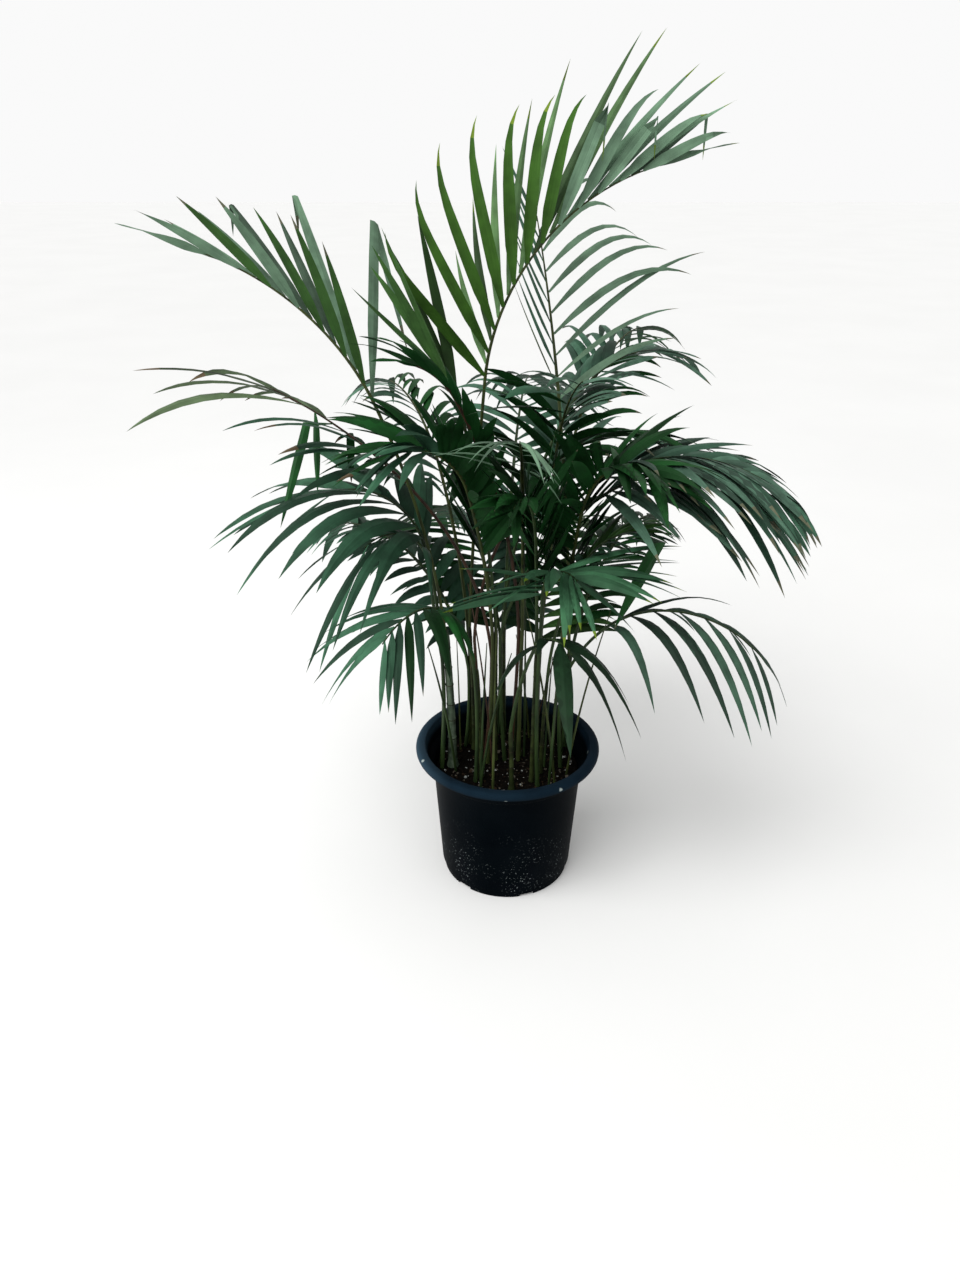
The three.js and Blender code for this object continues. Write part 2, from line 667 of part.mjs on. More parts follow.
addSubPart('pot', pot, POT_LOOK);
addSubPart('soil', soil, SOIL_LOOK);
canes.forEach((cane, index) => addSubPart(`cane_${index + 1}`, cane, CANE_LOOK));
FRONDS.forEach((frond, index) => {
  const look = { color: GREEN[frond.tint], roughness: LEAFLET_ROUGHNESS };
  if (hasLongPetiole(frond)) addSubPart(`petiole_${frond.name}`, petioleSolid(frond), PETIOLE_LOOK);
  addSubPart(`frond_${frond.name}`, fronds[index], look);
});

export default palm;
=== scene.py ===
import math
import random

import bpy
import numpy as np
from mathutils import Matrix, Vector
from mathutils.bvhtree import BVHTree


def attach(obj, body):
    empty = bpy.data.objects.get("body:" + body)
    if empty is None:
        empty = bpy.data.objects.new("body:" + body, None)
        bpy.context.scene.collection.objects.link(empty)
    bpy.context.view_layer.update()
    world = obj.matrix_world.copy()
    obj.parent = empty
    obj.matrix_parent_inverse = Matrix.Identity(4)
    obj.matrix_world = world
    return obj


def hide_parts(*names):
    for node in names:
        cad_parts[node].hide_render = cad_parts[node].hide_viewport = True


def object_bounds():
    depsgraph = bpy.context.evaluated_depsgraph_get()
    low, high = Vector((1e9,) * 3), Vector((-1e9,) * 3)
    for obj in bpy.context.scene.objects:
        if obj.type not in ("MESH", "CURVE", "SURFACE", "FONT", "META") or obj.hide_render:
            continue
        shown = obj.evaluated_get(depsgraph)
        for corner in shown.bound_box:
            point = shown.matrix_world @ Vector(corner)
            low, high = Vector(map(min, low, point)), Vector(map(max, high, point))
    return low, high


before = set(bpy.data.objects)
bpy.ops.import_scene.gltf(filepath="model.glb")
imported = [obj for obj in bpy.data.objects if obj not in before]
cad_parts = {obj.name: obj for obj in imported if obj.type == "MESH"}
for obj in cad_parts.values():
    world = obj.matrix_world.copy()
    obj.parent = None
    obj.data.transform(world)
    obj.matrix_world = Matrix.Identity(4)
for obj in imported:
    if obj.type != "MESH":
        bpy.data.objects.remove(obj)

# The looks of a clump-forming areca palm in a moulded nursery pot.
# Sizes are in millimetres and become metres as each mesh is made. Angles are in degrees.
# +Z is up, +X is the right of the front view, and the origin is the centre of the pot's flat underside.

MM = 0.001
UP = Vector((0, 0, 1))
BODY = "root"
CAD_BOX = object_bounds()
BOX_MARGIN = 1.0

# The largest angle between faces that are shaded as one soft surface
SOFT_POT = 35
SOFT_SOIL = 60
SOFT_CANE = 50
SOFT_STALK = 60
SOFT_LEAF = 24
SOFT_CHIP = 30

# Pot, with the same driving sizes as its solid
POT_HEIGHT = 240
POT_SIDES = 128
RIM_RADIUS = 150
RIM_BEAD = 7
RIM_LIP = 6
RIM_INNER_RADIUS = 134
RIM_BEVEL = 3
COLLAR_RADIUS = 131
COLLAR_Z = 211
SHOULDER_RADIUS = 122
SHOULDER_Z = 203
LEDGE_RADIUS = 109.5
LEDGE_Z = 15
FOOT_RADIUS = 106
FOOT_BEVEL = 1
WALL = 3
FLOOR = 6
FLOOR_BEVEL = 3
NOTCH_COUNT = 6
NOTCH_WIDTH = 25
NOTCH_HEIGHT = 5
NOTCH_DEPTH = 8
NOTCH_BEVEL = 1.5
NOTCH_HEADING = -72
# Heights over which the wall's colour turns into the rim's lighter one, which is painted top light
RIM_PAINTED_LIGHT_HEIGHTS = (COLLAR_Z + 12, POT_HEIGHT - 8)
DUST_FADE = (150, 30)

# Potting mix, with crumbs and chips on top
GAP = 0.3
SOIL_Z = 195
SOIL_BED_Z = SOIL_Z - 2
SOIL_EDGE_Z = SOIL_Z - 4
SOIL_SWELL = 3
SOIL_SIDES = 96
SOIL_RINGS = 14
CRUMB_SPACING = 12
CHIP_SEED = 41
CHIP_COUNT = 900
CHIP_FIELD = 108
CHIP_SMALL_SHARE = 0.9
CHIP_SMALL_SIZES = (1.2, 3.2)
CHIP_LARGE_SIZES = (3.2, 6)
CHIP_SINK = 1.2
CHIP_FLATNESS = (0.35, 0.6)
CHIP_BREADTH = (0.28, 0.46)
CHIP_LEAN = 0.35
CHIP_TILT = 0.3
CHIP_NUDGE = 0.12
CHIP_UNEVENNESS = (0.7, 1.1)
CHIP_TONES = {
    "chip_dark": ((12, 9, 7), (26, 20, 15)),
    "chip_brown": ((30, 22, 16), (52, 40, 29)),
    "chip_tan": ((62, 58, 50), (98, 92, 82)),
    "chip_pale": ((112, 116, 114), (160, 164, 160)),
}
CHIP_ODDS = (0.44, 0.28, 0.18, 0.1)

# Canes. Each shape is rows of a height and a share of the cane's radius there:
# up from the foot, about each node, and down from the tip.
CANE_SEED = 700
CANE_SIDES = 16
CANE_SLIM = 0.62
CANE_FLARE = 1.45
CANE_FOOT_SHAPE = ((3, 1.36), (8, 1.18), (16, 1.06))
CANE_NODE_SPACING = 34
CANE_NODE_SPREAD = (0.8, 1.25)
CANE_NODE_SHAPE = ((-2.4, 1.0), (-1, 1.1), (0.6, 1.1), (2, 0.97))
CANE_SHEATH_SHAPE = ((-34, 1.0), (-20, 1.1), (-8, 1.06), (0, 0.92))
CANE_PLAIN_TOP = 60
CANE_RING_REACH = 1.1

# Stalks: a petiole that carries on as the rachis. One that leaves the side of its cane
# goes on down beside it as a sucker.
PETIOLE_STEPS = 20
RACHIS_STEPS = 24
STALK_SIDES = 8
STALK_CHANNEL = 0.62
PETIOLE_GAP = 0.4
PETIOLE_RADIUS = 2.9
RACHIS_RADIUS = 2.6
RACHIS_TIP_RADIUS = 0.9
SUCKER_STEPS = 12
SUCKER_SPREAD = 9
SUCKER_SWELL = 0.35

# Shoots: thin stems between the canes
SHOOT_SEED = 23
SHOOT_COUNT = 16
SHOOT_TRIES = 400
SHOOT_FIELD = 105
SHOOT_LEAN = (4, 22)
SHOOT_FOOT_LEAN = 0.4
SHOOT_HEIGHTS = (180, 380)
SHOOT_RADII = (1.5, 2.4)
SHOOT_TAPER = 0.7
SHOOT_SIDES = 6
SHOOT_STEPS = 10
SHOOT_KINDS = ("green", "olive", "brown")
SHOOT_ODDS = (0.4, 0.4, 0.2)

# Leaflets. A reach is a share of a leaflet's length, and a width here is a share of its widest.
# Its foot lies aside and over the middle of the rachis, by shares of the radius there. A spread is
# the least and the most share that luck deals, and a stray is how far luck moves a value.
LEAF_SEED = 100
LEAFLET_REACHES = (0, 0.05, 0.13, 0.23, 0.34, 0.46, 0.58, 0.7, 0.81, 0.9, 0.96)
LEAFLET_WIDEST = 0.25
LEAFLET_FOOT = 0.26
LEAFLET_FOOT_REACH = -0.04
LEAFLET_NARROWEST = 0.8
LEAFLET_NOMINAL = 240
LEAFLET_WIDTH_POWER = 0.35
LEAFLET_CROWDING = 1.7
LEAFLET_SAG_POWER = 2.3
LEAFLET_HOOK_POWER = 9
LEAFLET_THICKNESS = 0.7
LEAFLET_THINNEST = 0.35
LEAFLET_FOLD = 15
LEAFLET_TURN_SHARE = 0.4
BEND_SWING = 0.12
FOOT_ASIDE = 0.6
FOOT_OVER = 0.35
SPREAD_WIDTH = (0.9, 1.06)
SPREAD_DROOP = (0.8, 1.2)
SPREAD_FOLD = (0.7, 1.3)
STRAY_SHORT = 0.07
STRAY_LONG = 0.04
STRAY_OPEN = 2.5
STRAY_LIFT = 4
STRAY_BOW = 0.015
STRAY_TWIST = 12
GRAIN_FIELD = 5000

# Ways round a neighbour: a change of a leaflet's lift, and a share of its length
LEAFLET_TRIES = (
    (0, 1), (5, 1), (-5, 1), (10, 1), (-10, 1), (16, 1), (-16, 1), (24, 1), (-24, 1),
    (0, 0.8), (10, 0.8), (-10, 0.8), (20, 0.8), (0, 0.6), (14, 0.6), (-14, 0.6), (0, 0.42),
)

# How a leaflet ends: the share of leaflets with a coloured end, its finish, and its length in rings
TIP_KINDS = {
    "plain": (0.12, "tip_dry", 1),
    "yellow": (0.75, "tip_yellow", 2),
    "dry": (0.7, "tip_dry", 2),
    "dead": (0.8, "tip_dead", 3),
}

# Each cane: its foot on the soil, its height, the heading and degrees of the lean at its tip,
# its radius at the foot and at the tip, and the share of that radius that its looks have
CANES = [
    dict(foot=(-90, -4), height=250, heading=180, lean=4, radius=(8, 6), slim=0.9),
    dict(foot=(-43, -38), height=200, heading=190, lean=4, radius=(5.8, 4.6)),
    dict(foot=(5, -74), height=110, heading=180, lean=3, radius=(6.6, 5.2)),
    dict(foot=(38, -50), height=230, heading=60, lean=2, radius=(5.6, 4.4)),
    dict(foot=(54, -26), height=170, heading=20, lean=4, radius=(5.2, 4.2)),
    dict(foot=(74, -4), height=200, heading=0, lean=4, radius=(5.4, 4.2)),
    dict(foot=(92, 38), height=190, heading=20, lean=4, radius=(5.4, 4.2)),
    dict(foot=(20, 25), height=260, heading=60, lean=2, radius=(6, 4.6)),
    dict(foot=(-20, 12), height=240, heading=90, lean=2, radius=(6.2, 4.8)),
    dict(foot=(-55, 45), height=230, heading=150, lean=4, radius=(5.8, 4.6)),
    dict(foot=(-5, 78), height=210, heading=100, lean=4, radius=(5.4, 4.2)),
    dict(foot=(50, 68), height=200, heading=60, lean=4, radius=(5.4, 4.2)),
]

# Each frond: its cane, the share of the cane's height where it leaves it, and its heading
# (0 right, 90 away, 180 left). petiole and blade are the lengths of those two parts, and span is
# the share of the blade that bears leaflets. rise, lean and nod are the tilt from upright at the
# foot, at the first leaflets and at the tip.
# pairs counts the leaflet pairs on the blade, below those on the petiole, and leaflet is their
# length. Values in brackets run from the first leaflets to the last, and one number holds for all:
# open is the angle to the rachis, vee the lift above the frond's plane, droop the sag, and size a
# share of the length.
# roll lifts the right flank and lowers the left one, bow curves a leaflet towards the frond's tip,
# hook does so at its end, pitch turns it about its own length, and point is how blunt it ends.
# kink is the ring where a leaflet bends over, how far it then hangs, and how far it swings back.
# loose is how far leaflets stray from the rule, and lit how far they look like outer ones, so spared the
# painted shade deep in the crown.
# slot is the finish of the solid, tint that of the leaflets, from the first to the last where it
# is a pair, stalk that of the rachis, and tips how leaflets end.
# right and left hold what only that flank has, and own what only one leaflet has. Leaflets are
# counted from the first pair, even on the right and odd on the left, and below it from -1 down.
FROND_COMMON = dict(
    span=1, below=0, width=16, size=(0.75, 1.0, 0.98, 0.8, 0.45), roll=0, bow=0.02, hook=0, pitch=28,
    point=2.5, kink=None, loose=1, lit=0, tint="deep", stalk="green", tips="plain", right={}, left={}, own={},
)
FROND_TABLE = [
    dict(
        name="crest", slot="bright", cane=10, at=1, heading=7, stalk="olive", tips="yellow",
        petiole=388, blade=462, span=0.83, rise=2, lean=5, nod=90,
        pairs=12, leaflet=265, width=17.5, roll=10, vee=(76, 72), droop=(0, 0.04), loose=0.4,
        right=dict(
            # The bright tint of this near flank is partly painted light shining through the leaflets
            tint=("bright", "grey"), open=(46, 39, 33, 22, 8), size=(0.84, 0.93, 0.7, 0.6, 0.44),
            bow=0.01, hook=0.08,
        ),
        left=dict(
            tint=("pale", "grey"), open=(30, 24, 18, 9, 2), size=(0.5, 0.84, 1.14, 0.84, 0.42),
            bow=0.05, width=14, point=1.6,
        ),
        own={
            14: dict(leaflet=345, kink=(7, 0.95)),
            18: dict(leaflet=290, kink=(7, 0.95)),
            21: dict(open=22, leaflet=330, kink=(7, 0.93)),
        },
    ),
    dict(
        name="left_arch", slot="deep", cane=1, at=1, heading=185, stalk="olive", tips="dry",
        petiole=361, blade=356, span=0.84, rise=6, lean=23, nod=80,
        pairs=7, leaflet=230, width=15, roll=-25, vee=(55, 45, 20), droop=(0, 0.04, 0.12), loose=0.5,
        right=dict(tint="grey", open=(26, 30, 24, 8), size=(0.95, 0.84, 0.66, 0.62)),
        left=dict(tint=("fresh", "grey"), open=(14, 19, 20, 4), size=(0.85, 0.8, 0.66, 0.6)),
        own={
            0: dict(open=49, leaflet=490, width=12, kink=(6, 0.97, 0.15)),
            2: dict(leaflet=330, kink=(8, 0.85)),
            6: dict(leaflet=310, kink=(8, 0.85)),
            7: dict(tint="grey"),
        },
    ),
    dict(
        name="back_blue", slot="blue", cane=7, at=1, heading=106, stalk="olive", tips="dry",
        petiole=421, blade=249, rise=6, lean=21, nod=33,
        pairs=8, below=1, leaflet=285, width=14, vee=(25, 20), loose=0.6, point=1.7,
        right=dict(
            tint="grey", open=(54, 47, 40), size=(1.2, 1.1, 0.95, 0.8, 0.6), droop=(0.5, 0.48, 0.48, 0.45),
        ),
        left=dict(tint="blue", open=(26, 24, 22), size=(0.5, 0.48, 0.4), droop=0, pitch=75, width=11),
        own={
            -2: dict(leaflet=200, droop=0.3),
            -1: dict(leaflet=330, tint="dull", width=5, open=30),
            0: dict(leaflet=215, width=9, droop=0.3),
            2: dict(leaflet=285, width=10, droop=0.3),
            4: dict(leaflet=265),
        },
    ),
    dict(
        name="right_arch", slot="blue", cane=8, at=1, heading=-25, lit=0.6, tips="dry",
        petiole=268, blade=250, rise=2, lean=50, nod=118,
        pairs=24, leaflet=180, width=20, vee=(0, -5), loose=1.3,
        right=dict(
            tint=("steel", "blue"), open=(44, 30, 16), size=(1.1, 1.2, 0.85, 0.45), droop=(0.35, 0.45),
        ),
        left=dict(
            tint=("blue", "steel"), open=(44, 26, 12), size=(0.7, 0.75, 0.65, 0.4), droop=(0.35, 0.6),
        ),
        own={
            1: dict(leaflet=310, droop=0.38),
            9: dict(leaflet=240, droop=0.3),
            15: dict(leaflet=220, droop=0.25),
            21: dict(leaflet=220, droop=0.25),
        },
    ),
    dict(
        name="right_broad", slot="blue", cane=9, at=0.95, heading=-10, lit=0.6, tips="dry",
        petiole=290, blade=210, rise=11, lean=52, nod=118,
        pairs=22, leaflet=185, width=21, vee=(-5, -8), loose=1.5,
        right=dict(
            tint=("steel", "blue"), open=(60, 50, 24), size=(1.15, 1.2, 0.95, 0.6), droop=(0.28, 0.42),
        ),
        left=dict(tint="steel", open=(40, 28, 14), size=(0.8, 0.95, 0.8, 0.45), droop=(0.22, 0.4)),
        own={5: dict(leaflet=230, vee=14), 13: dict(leaflet=230, vee=12)},
    ),
    dict(
        name="left_spear", slot="bright", cane=9, at=1, heading=165, tint="fresh",
        petiole=365, blade=160, span=0.3, rise=3, lean=16, nod=140,
        pairs=3, leaflet=245, width=17, vee=(20, 30), droop=(0, 0.03), loose=0.4,
        right=dict(open=(10, 6), size=(0.98, 0.8, 0.6)),
        left=dict(open=(16, 8), size=(1.08, 0.85, 0.6)),
    ),
    dict(
        name="left_dark", slot="deep", cane=8, at=0.88, heading=203, stalk="brown",
        petiole=391, blade=95, span=0.9, rise=2, lean=28, nod=74,
        pairs=3, below=5, leaflet=150, width=19, open=(24, 16), vee=(5, 10), droop=(0.3, 0.24), loose=1.2,
    ),
    dict(
        name="right_fan", slot="deep", cane=11, at=1, heading=30, tips="dry",
        petiole=366, blade=215, rise=2, lean=34, nod=106,
        pairs=9, below=2, leaflet=190, width=22, vee=(0, 5), droop=(0.3, 0.35), loose=2,
        right=dict(tint="steel", open=(44, 30, 16), size=(0.6, 0.65, 0.65, 0.5)),
        left=dict(tint=("blue", "steel"), open=(46, 34, 18), size=(0.7, 0.8, 0.7)),
    ),
    dict(
        name="right_dark", slot="deep", cane=10, at=0.9, heading=0, stalk="brown", tips="dry",
        petiole=322, blade=155, rise=2, lean=43, nod=110,
        pairs=8, below=5, leaflet=170, width=20, open=(44, 20), vee=5, droop=(0.4, 0.45), loose=2,
        left=dict(tint="steel", size=(0.7, 0.6, 0.5)),
    ),
    dict(
        name="left_brown", slot="dull", cane=9, at=0.8, heading=178, stalk="brown", tips="dead",
        petiole=295, blade=255, rise=4, lean=41, nod=64,
        pairs=11, leaflet=240, width=17, vee=(0, 5), loose=1.6,
        right=dict(
            tint=("deep", "dull"), open=(40, 25, 10), size=(0.5, 0.35, 0.3, 0.9), droop=(0.8, 0.8, 0.35),
        ),
        left=dict(
            tint=("teal", "dull"), open=(50, 36, 22), size=(0.95, 0.95, 0.95, 0.85), droop=(0.3, 0.35, 0.3),
        ),
        own={
            10: dict(tint=("deep", "deep"), leaflet=330, open=50, droop=0.2, kink=(2, 0.9)),
            12: dict(leaflet=90, droop=0.2),
            13: dict(tint=("deep", "deep"), leaflet=215, kink=(3, 0.75)),
            14: dict(leaflet=330, open=24, droop=0.4),
            15: dict(tint=("deep", "deep"), leaflet=140, kink=(1, 0.97)),
            16: dict(leaflet=300),
            17: dict(leaflet=290, open=34, droop=0.4),
        },
    ),
    dict(
        # The grey tint here stands partly for a painted bluish-grey sheen on the leaflets' top sides
        name="front_high", slot="deep", cane=8, at=0.95, heading=-95, lit=1, tint="grey", stalk="olive",
        petiole=307, blade=191, span=0.6, rise=13, lean=35, nod=87,
        pairs=6, leaflet=135, width=18, open=(60, 26), vee=-8, roll=12,
        right=dict(size=(1.1, 0.9, 0.65), droop=(0.15, 0.4, 0.6)),
        left=dict(size=(0.55, 0.6), droop=0.6),
    ),
    dict(
        name="low_right", slot="blue", cane=6, at=0.75, heading=-25, tint="slate",
        petiole=137, blade=262, rise=14, lean=44, nod=136,
        pairs=7, leaflet=205, width=16, vee=(-8, -12), loose=0.5,
        right=dict(open=(42, 32, 24), size=(0.78, 0.98, 0.74, 0.52, 0.32), droop=(0.85, 0.95, 0.6)),
        left=dict(open=(40, 28), size=(0.4, 0.45, 0.5, 0.35), droop=0.6),
        own={1: dict(leaflet=480, open=32, droop=0.38)},
    ),
    dict(
        name="left_fan", slot="fresh", cane=1, at=0.9, heading=165, lit=0.7, tint="teal",
        petiole=163, blade=177, rise=2, lean=14, nod=112,
        pairs=9, leaflet=245, width=28, vee=4, loose=0.7,
        right=dict(open=(50, 30, 14), size=(0.7, 0.95, 0.95), droop=(0.3, 0.28)),
        left=dict(open=(70, 52, 36, 24), size=(0.9, 1.15, 1.0, 0.7), droop=(0.5, 0.6, 0.42, 0.36)),
    ),
    dict(
        name="left_low", slot="deep", cane=1, at=0.8, heading=205, lit=0.9, tint="teal",
        petiole=172, blade=125, rise=8, lean=6, nod=132,
        pairs=5, leaflet=225, width=17, vee=(-5, -10), droop=0.5,
        right=dict(open=(50, 22), size=(0.5, 0.7)),
        left=dict(open=(60, 45, 30), size=(0.75, 0.9, 0.9, 0.6)),
    ),
    dict(
        name="low_left", slot="deep", cane=2, at=0.9, heading=235,
        petiole=162, blade=155, rise=4, lean=46, nod=124,
        pairs=9, leaflet=145, width=17, open=(62, 30), vee=(-5, -8),
        right=dict(tint="teal", size=(0.8, 1, 0.95, 0.6), droop=(0.35, 0.5)),
        left=dict(tint=("deep", "teal"), size=(0.7, 0.85, 0.85, 0.5), droop=0.5),
    ),
    dict(
        name="front_bright", slot="fresh", cane=4, at=0.8, heading=-55, lit=0.9, tint="jade", tips="yellow",
        petiole=150, blade=105, rise=2, lean=2, nod=112,
        pairs=14, leaflet=195, width=21, vee=4, droop=(0.15, 0.3),
        right=dict(open=(78, 54, 24), size=(0.95, 0.9, 0.65, 0.5)),
        left=dict(open=(100, 60, 26), size=(1.0, 1.08, 0.9, 0.5)),
    ),
    dict(
        name="front_low", slot="deep", cane=3, at=1, heading=-62, lit=0.2, tint="moss",
        petiole=185, blade=110, rise=10, lean=30, nod=109,
        pairs=3, leaflet=205, width=26, open=(58, 22), vee=(-8, -12),
        right=dict(size=(0.55, 0.8, 1.02), droop=0.5),
        left=dict(size=(0.6, 0.72, 0.45), droop=(0.85, 1.0)),
        own={0: dict(width=36), 2: dict(leaflet=70)},
    ),
    dict(
        name="right_mid", slot="fresh", cane=5, at=1, heading=-12,
        petiole=217, blade=140, span=0.7, rise=2, lean=26, nod=115,
        pairs=7, below=3, leaflet=115, open=(50, 26), vee=(10, 5), droop=(0.3, 0.35), loose=1.8,
        right=dict(tint="teal"),
        left=dict(tint="fresh"),
        own={
            12: dict(
                tint="deep", leaflet=330, width=34, open=30, droop=0.1, kink=(3, 0.97, 0.45),
            ),
        },
    ),
    dict(
        name="centre_left", slot="deep", cane=9, at=0.9, heading=220, stalk="olive",
        petiole=262, blade=165, rise=3, lean=18, nod=95,
        pairs=17, below=11, leaflet=190, width=23, open=(46, 22), vee=(20, 15), droop=(0.2, 0.35), loose=2,
        left=dict(tint=("deep", "teal")),
    ),
    dict(
        name="centre_front", slot="deep", cane=4, at=1, heading=-105,
        petiole=190, blade=190, rise=2, lean=14, nod=95,
        pairs=16, below=10, leaflet=160, width=20, open=(32, 18), vee=(45, 30), droop=(0.08, 0.2), loose=2.2,
    ),
    dict(
        name="centre_right", slot="deep", cane=6, at=1, heading=-60, stalk="olive",
        petiole=250, blade=200, rise=2, lean=14, nod=100,
        pairs=17, below=9, leaflet=180, width=23, open=(44, 22), vee=(20, 10), droop=(0.2, 0.35), loose=2,
    ),
    dict(
        name="centre_high", slot="deep", cane=12, at=0.85, heading=-80, stalk="olive",
        petiole=330, blade=230, span=0.9, rise=5, lean=12, nod=72,
        pairs=10, below=5, leaflet=190, width=25, vee=(10, 5), loose=2.2,
        right=dict(
            tint=("deep", "teal"), open=(45, 50, 50, 35), size=(0.9, 1.0, 0.9, 0.7), droop=(0.35, 0.25),
        ),
        left=dict(tint=("deep", "steel"), open=(40, 36, 24), size=(0.65, 0.55, 0.5), droop=0.35),
    ),
    dict(
        name="back_left", slot="deep", cane=10, at=0.8, heading=116, stalk="olive", tips="dry",
        petiole=300, blade=260, rise=6, lean=36, nod=100,
        pairs=12, below=3, leaflet=205, width=20, open=(40, 26), vee=15, droop=(0.5, 0.55), loose=1.8,
        right=dict(size=(0.6, 0.7, 0.6)),
        left=dict(tint="blue", size=(0.4, 0.45, 0.7, 0.5)),
    ),
    dict(
        name="back_mid", slot="blue", cane=11, at=0.88, heading=82, tint="blue", tips="dry",
        petiole=290, blade=290, rise=6, lean=38, nod=104,
        pairs=14, below=5, leaflet=215, width=20, open=(55, 28), vee=(0, 5), droop=(0.5, 0.55), loose=1.3,
    ),
    dict(
        name="back_right", slot="deep", cane=12, at=1, heading=60, stalk="olive", tips="dry",
        petiole=330, blade=300, rise=4, lean=32, nod=96,
        pairs=11, below=3, leaflet=220, width=20, open=(45, 24), vee=(5, 10), droop=(0.45, 0.5), loose=1.8,
        right=dict(size=(0.6, 0.6, 0.55)),
        left=dict(tint="blue"),
    ),
    dict(
        name="back_low", slot="blue", cane=11, at=0.7, heading=112,
        petiole=180, blade=250, rise=8, lean=52, nod=126,
        pairs=15, below=8, leaflet=200, width=24, open=(60, 28), vee=(-5, -10), droop=(0.45, 0.5),
        right=dict(tint="blue"),
    ),
    dict(
        name="right_low", slot="deep", cane=7, at=0.8, heading=52,
        petiole=190, blade=220, span=0.8, rise=8, lean=50, nod=122,
        pairs=12, below=6, leaflet=150, width=23, open=(50, 28), vee=(-5, -10), droop=(0.45, 0.5), loose=1.5,
        right=dict(size=(0.6, 0.6, 0.5)),
    ),
    dict(
        name="back_right_low", slot="fresh", cane=12, at=0.7, heading=78,
        petiole=170, blade=230, rise=8, lean=50, nod=122,
        pairs=13, below=7, leaflet=190, width=23, open=(60, 28), vee=(-5, -10), droop=(0.45, 0.5),
        right=dict(tint="fresh"),
    ),
    dict(
        name="left_back_low", slot="deep", cane=10, at=0.66, heading=152,
        petiole=190, blade=230, span=0.85, rise=8, lean=46, nod=122,
        pairs=12, below=7, leaflet=190, width=24, open=(60, 28), vee=(-5, -10), droop=(0.45, 0.5), loose=1.5,
        right=dict(tint="teal"),
        left=dict(tint="blue", size=(0.45, 0.4, 0.4)),
    ),
]
FRONDS = [{**FROND_COMMON, **frond} for frond in FROND_TABLE]

# Plain base colours of the leaflets, as screen values of red, green and blue
LEAF_TINTS = {
    # bright, on the crest's near row, is lighter partly as painted light shining through the leaflets
    "bright": (46, 76, 27),
    "fresh": (44, 72, 34),
    "deep": (18, 52, 22),
    "teal": (40, 70, 52),
    "blue": (48, 76, 60),
    "steel": (58, 82, 68),
    "grey": (82, 106, 86),
    "pale": (88, 118, 78),
    "jade": (48, 82, 58),
    "dull": (66, 80, 58),
    "moss": (18, 35, 21),
    "slate": (44, 64, 52),
}
# Lighter and darker copies of each tint, dealt partly at random and partly as painted light and shade by
# depth in the crown
LEAF_SHADES = {"light": 1.25, "mid": 1.0, "dark": 0.75}
UNDERSIDE_SHADE = 1.1
TINT_CHANGE = (0.3, 0.75)
TIP_TINTS = {"yellow": (94, 116, 36), "dry": (86, 88, 70), "dead": (84, 72, 54)}
STALK_TINTS = {
    "green": ((18, 32, 15), (44, 62, 28)),
    "olive": ((28, 36, 16), (60, 70, 30)),
    "brown": ((32, 22, 17), (66, 46, 32)),
}

# How far from the crown's middle a leaflet is deep in it, and how far it is an outer one. The odds
# # are those of each shade deep in the crown, with their change out to the outer ones: dark shades deep in
# the crown are painted shade.
CROWN_MIDDLE = Vector((0, 0, 620))
CROWN_DEPTHS = (60, 330)
SHADE_ODDS = (0.05, 0.35, 0.6)
SHADE_ODDS_CHANGE = (0.4, 0, -0.45)

# Studio, in metres
FLOOR_SIZE = 40
AIR_STRENGTH = 0.955
SKY_POWER = 2.2
SKY_SPREAD = 40
SKY_TURNS = (28, -22, 0)
SIDE_LIGHT_PLACE = (-2.2, -0.6, 1.2)
SIDE_LIGHT_AIM = (0, 0, 0.4)
SIDE_LIGHT_SIZE = 1.4
SIDE_LIGHT_POWER = 36
CAMERA_PLACE = (-0.045, -1.3345, 1.1165)
CAMERA_TILT = 62.64
CAMERA_LENS = 27.197
CAMERA_SENSOR = 36


def compass(heading):
    """The level direction at a heading."""
    turn = math.radians(heading)
    return Vector((math.cos(turn), math.sin(turn), 0))


def mix(pair, share):
    low, high = pair
    return low + (high - low) * share


def along(values, share):
    """The value at a share of the way through some evenly spaced values, or the one that holds all along."""
    if not isinstance(values, tuple):
        return values
    place = share * (len(values) - 1)
    index = min(int(place), len(values) - 2)
    return mix(values[index:index + 2], place - index)


def smooth_share(value, low, high):
    """0 below low, 1 above high, with a soft change between."""
    share = min(1, max(0, (value - low) / (high - low)))
    return share * share * (3 - 2 * share)


def on_bend(bend, share):
    """A place on a bend, which leaves its start at one tilt from upright and ends at another."""
    level = compass(bend["heading"])
    side = level.cross(UP)
    low, high = bend["tilts"]
    half = math.radians(high - low) * share / 2
    chord_tilt = math.radians(low) + half
    chord = bend["length"] * share * (math.sin(half) / half if half else 1)
    tilt = math.radians(low) + 2 * half
    climb = level * math.sin(chord_tilt) + UP * math.cos(chord_tilt)
    ahead = level * math.sin(tilt) + UP * math.cos(tilt)
    return dict(point=bend["start"] + climb * chord, along=ahead, side=side, over=side.cross(ahead))


def station_on(bend, share, radius):
    """A place on a bend that has a radius."""
    return {**on_bend(bend, share), "radius": radius}


def cane_place(cane, share):
    """The middle of a cane at a share of its height, with its radius there."""
    start = Vector((*cane["foot"], SOIL_Z + GAP))
    bend = dict(start=start, heading=cane["heading"], length=cane["height"], tilts=(0, cane["lean"]))
    return station_on(bend, share, mix(cane["radius"], share) * cane.get("slim", CANE_SLIM))


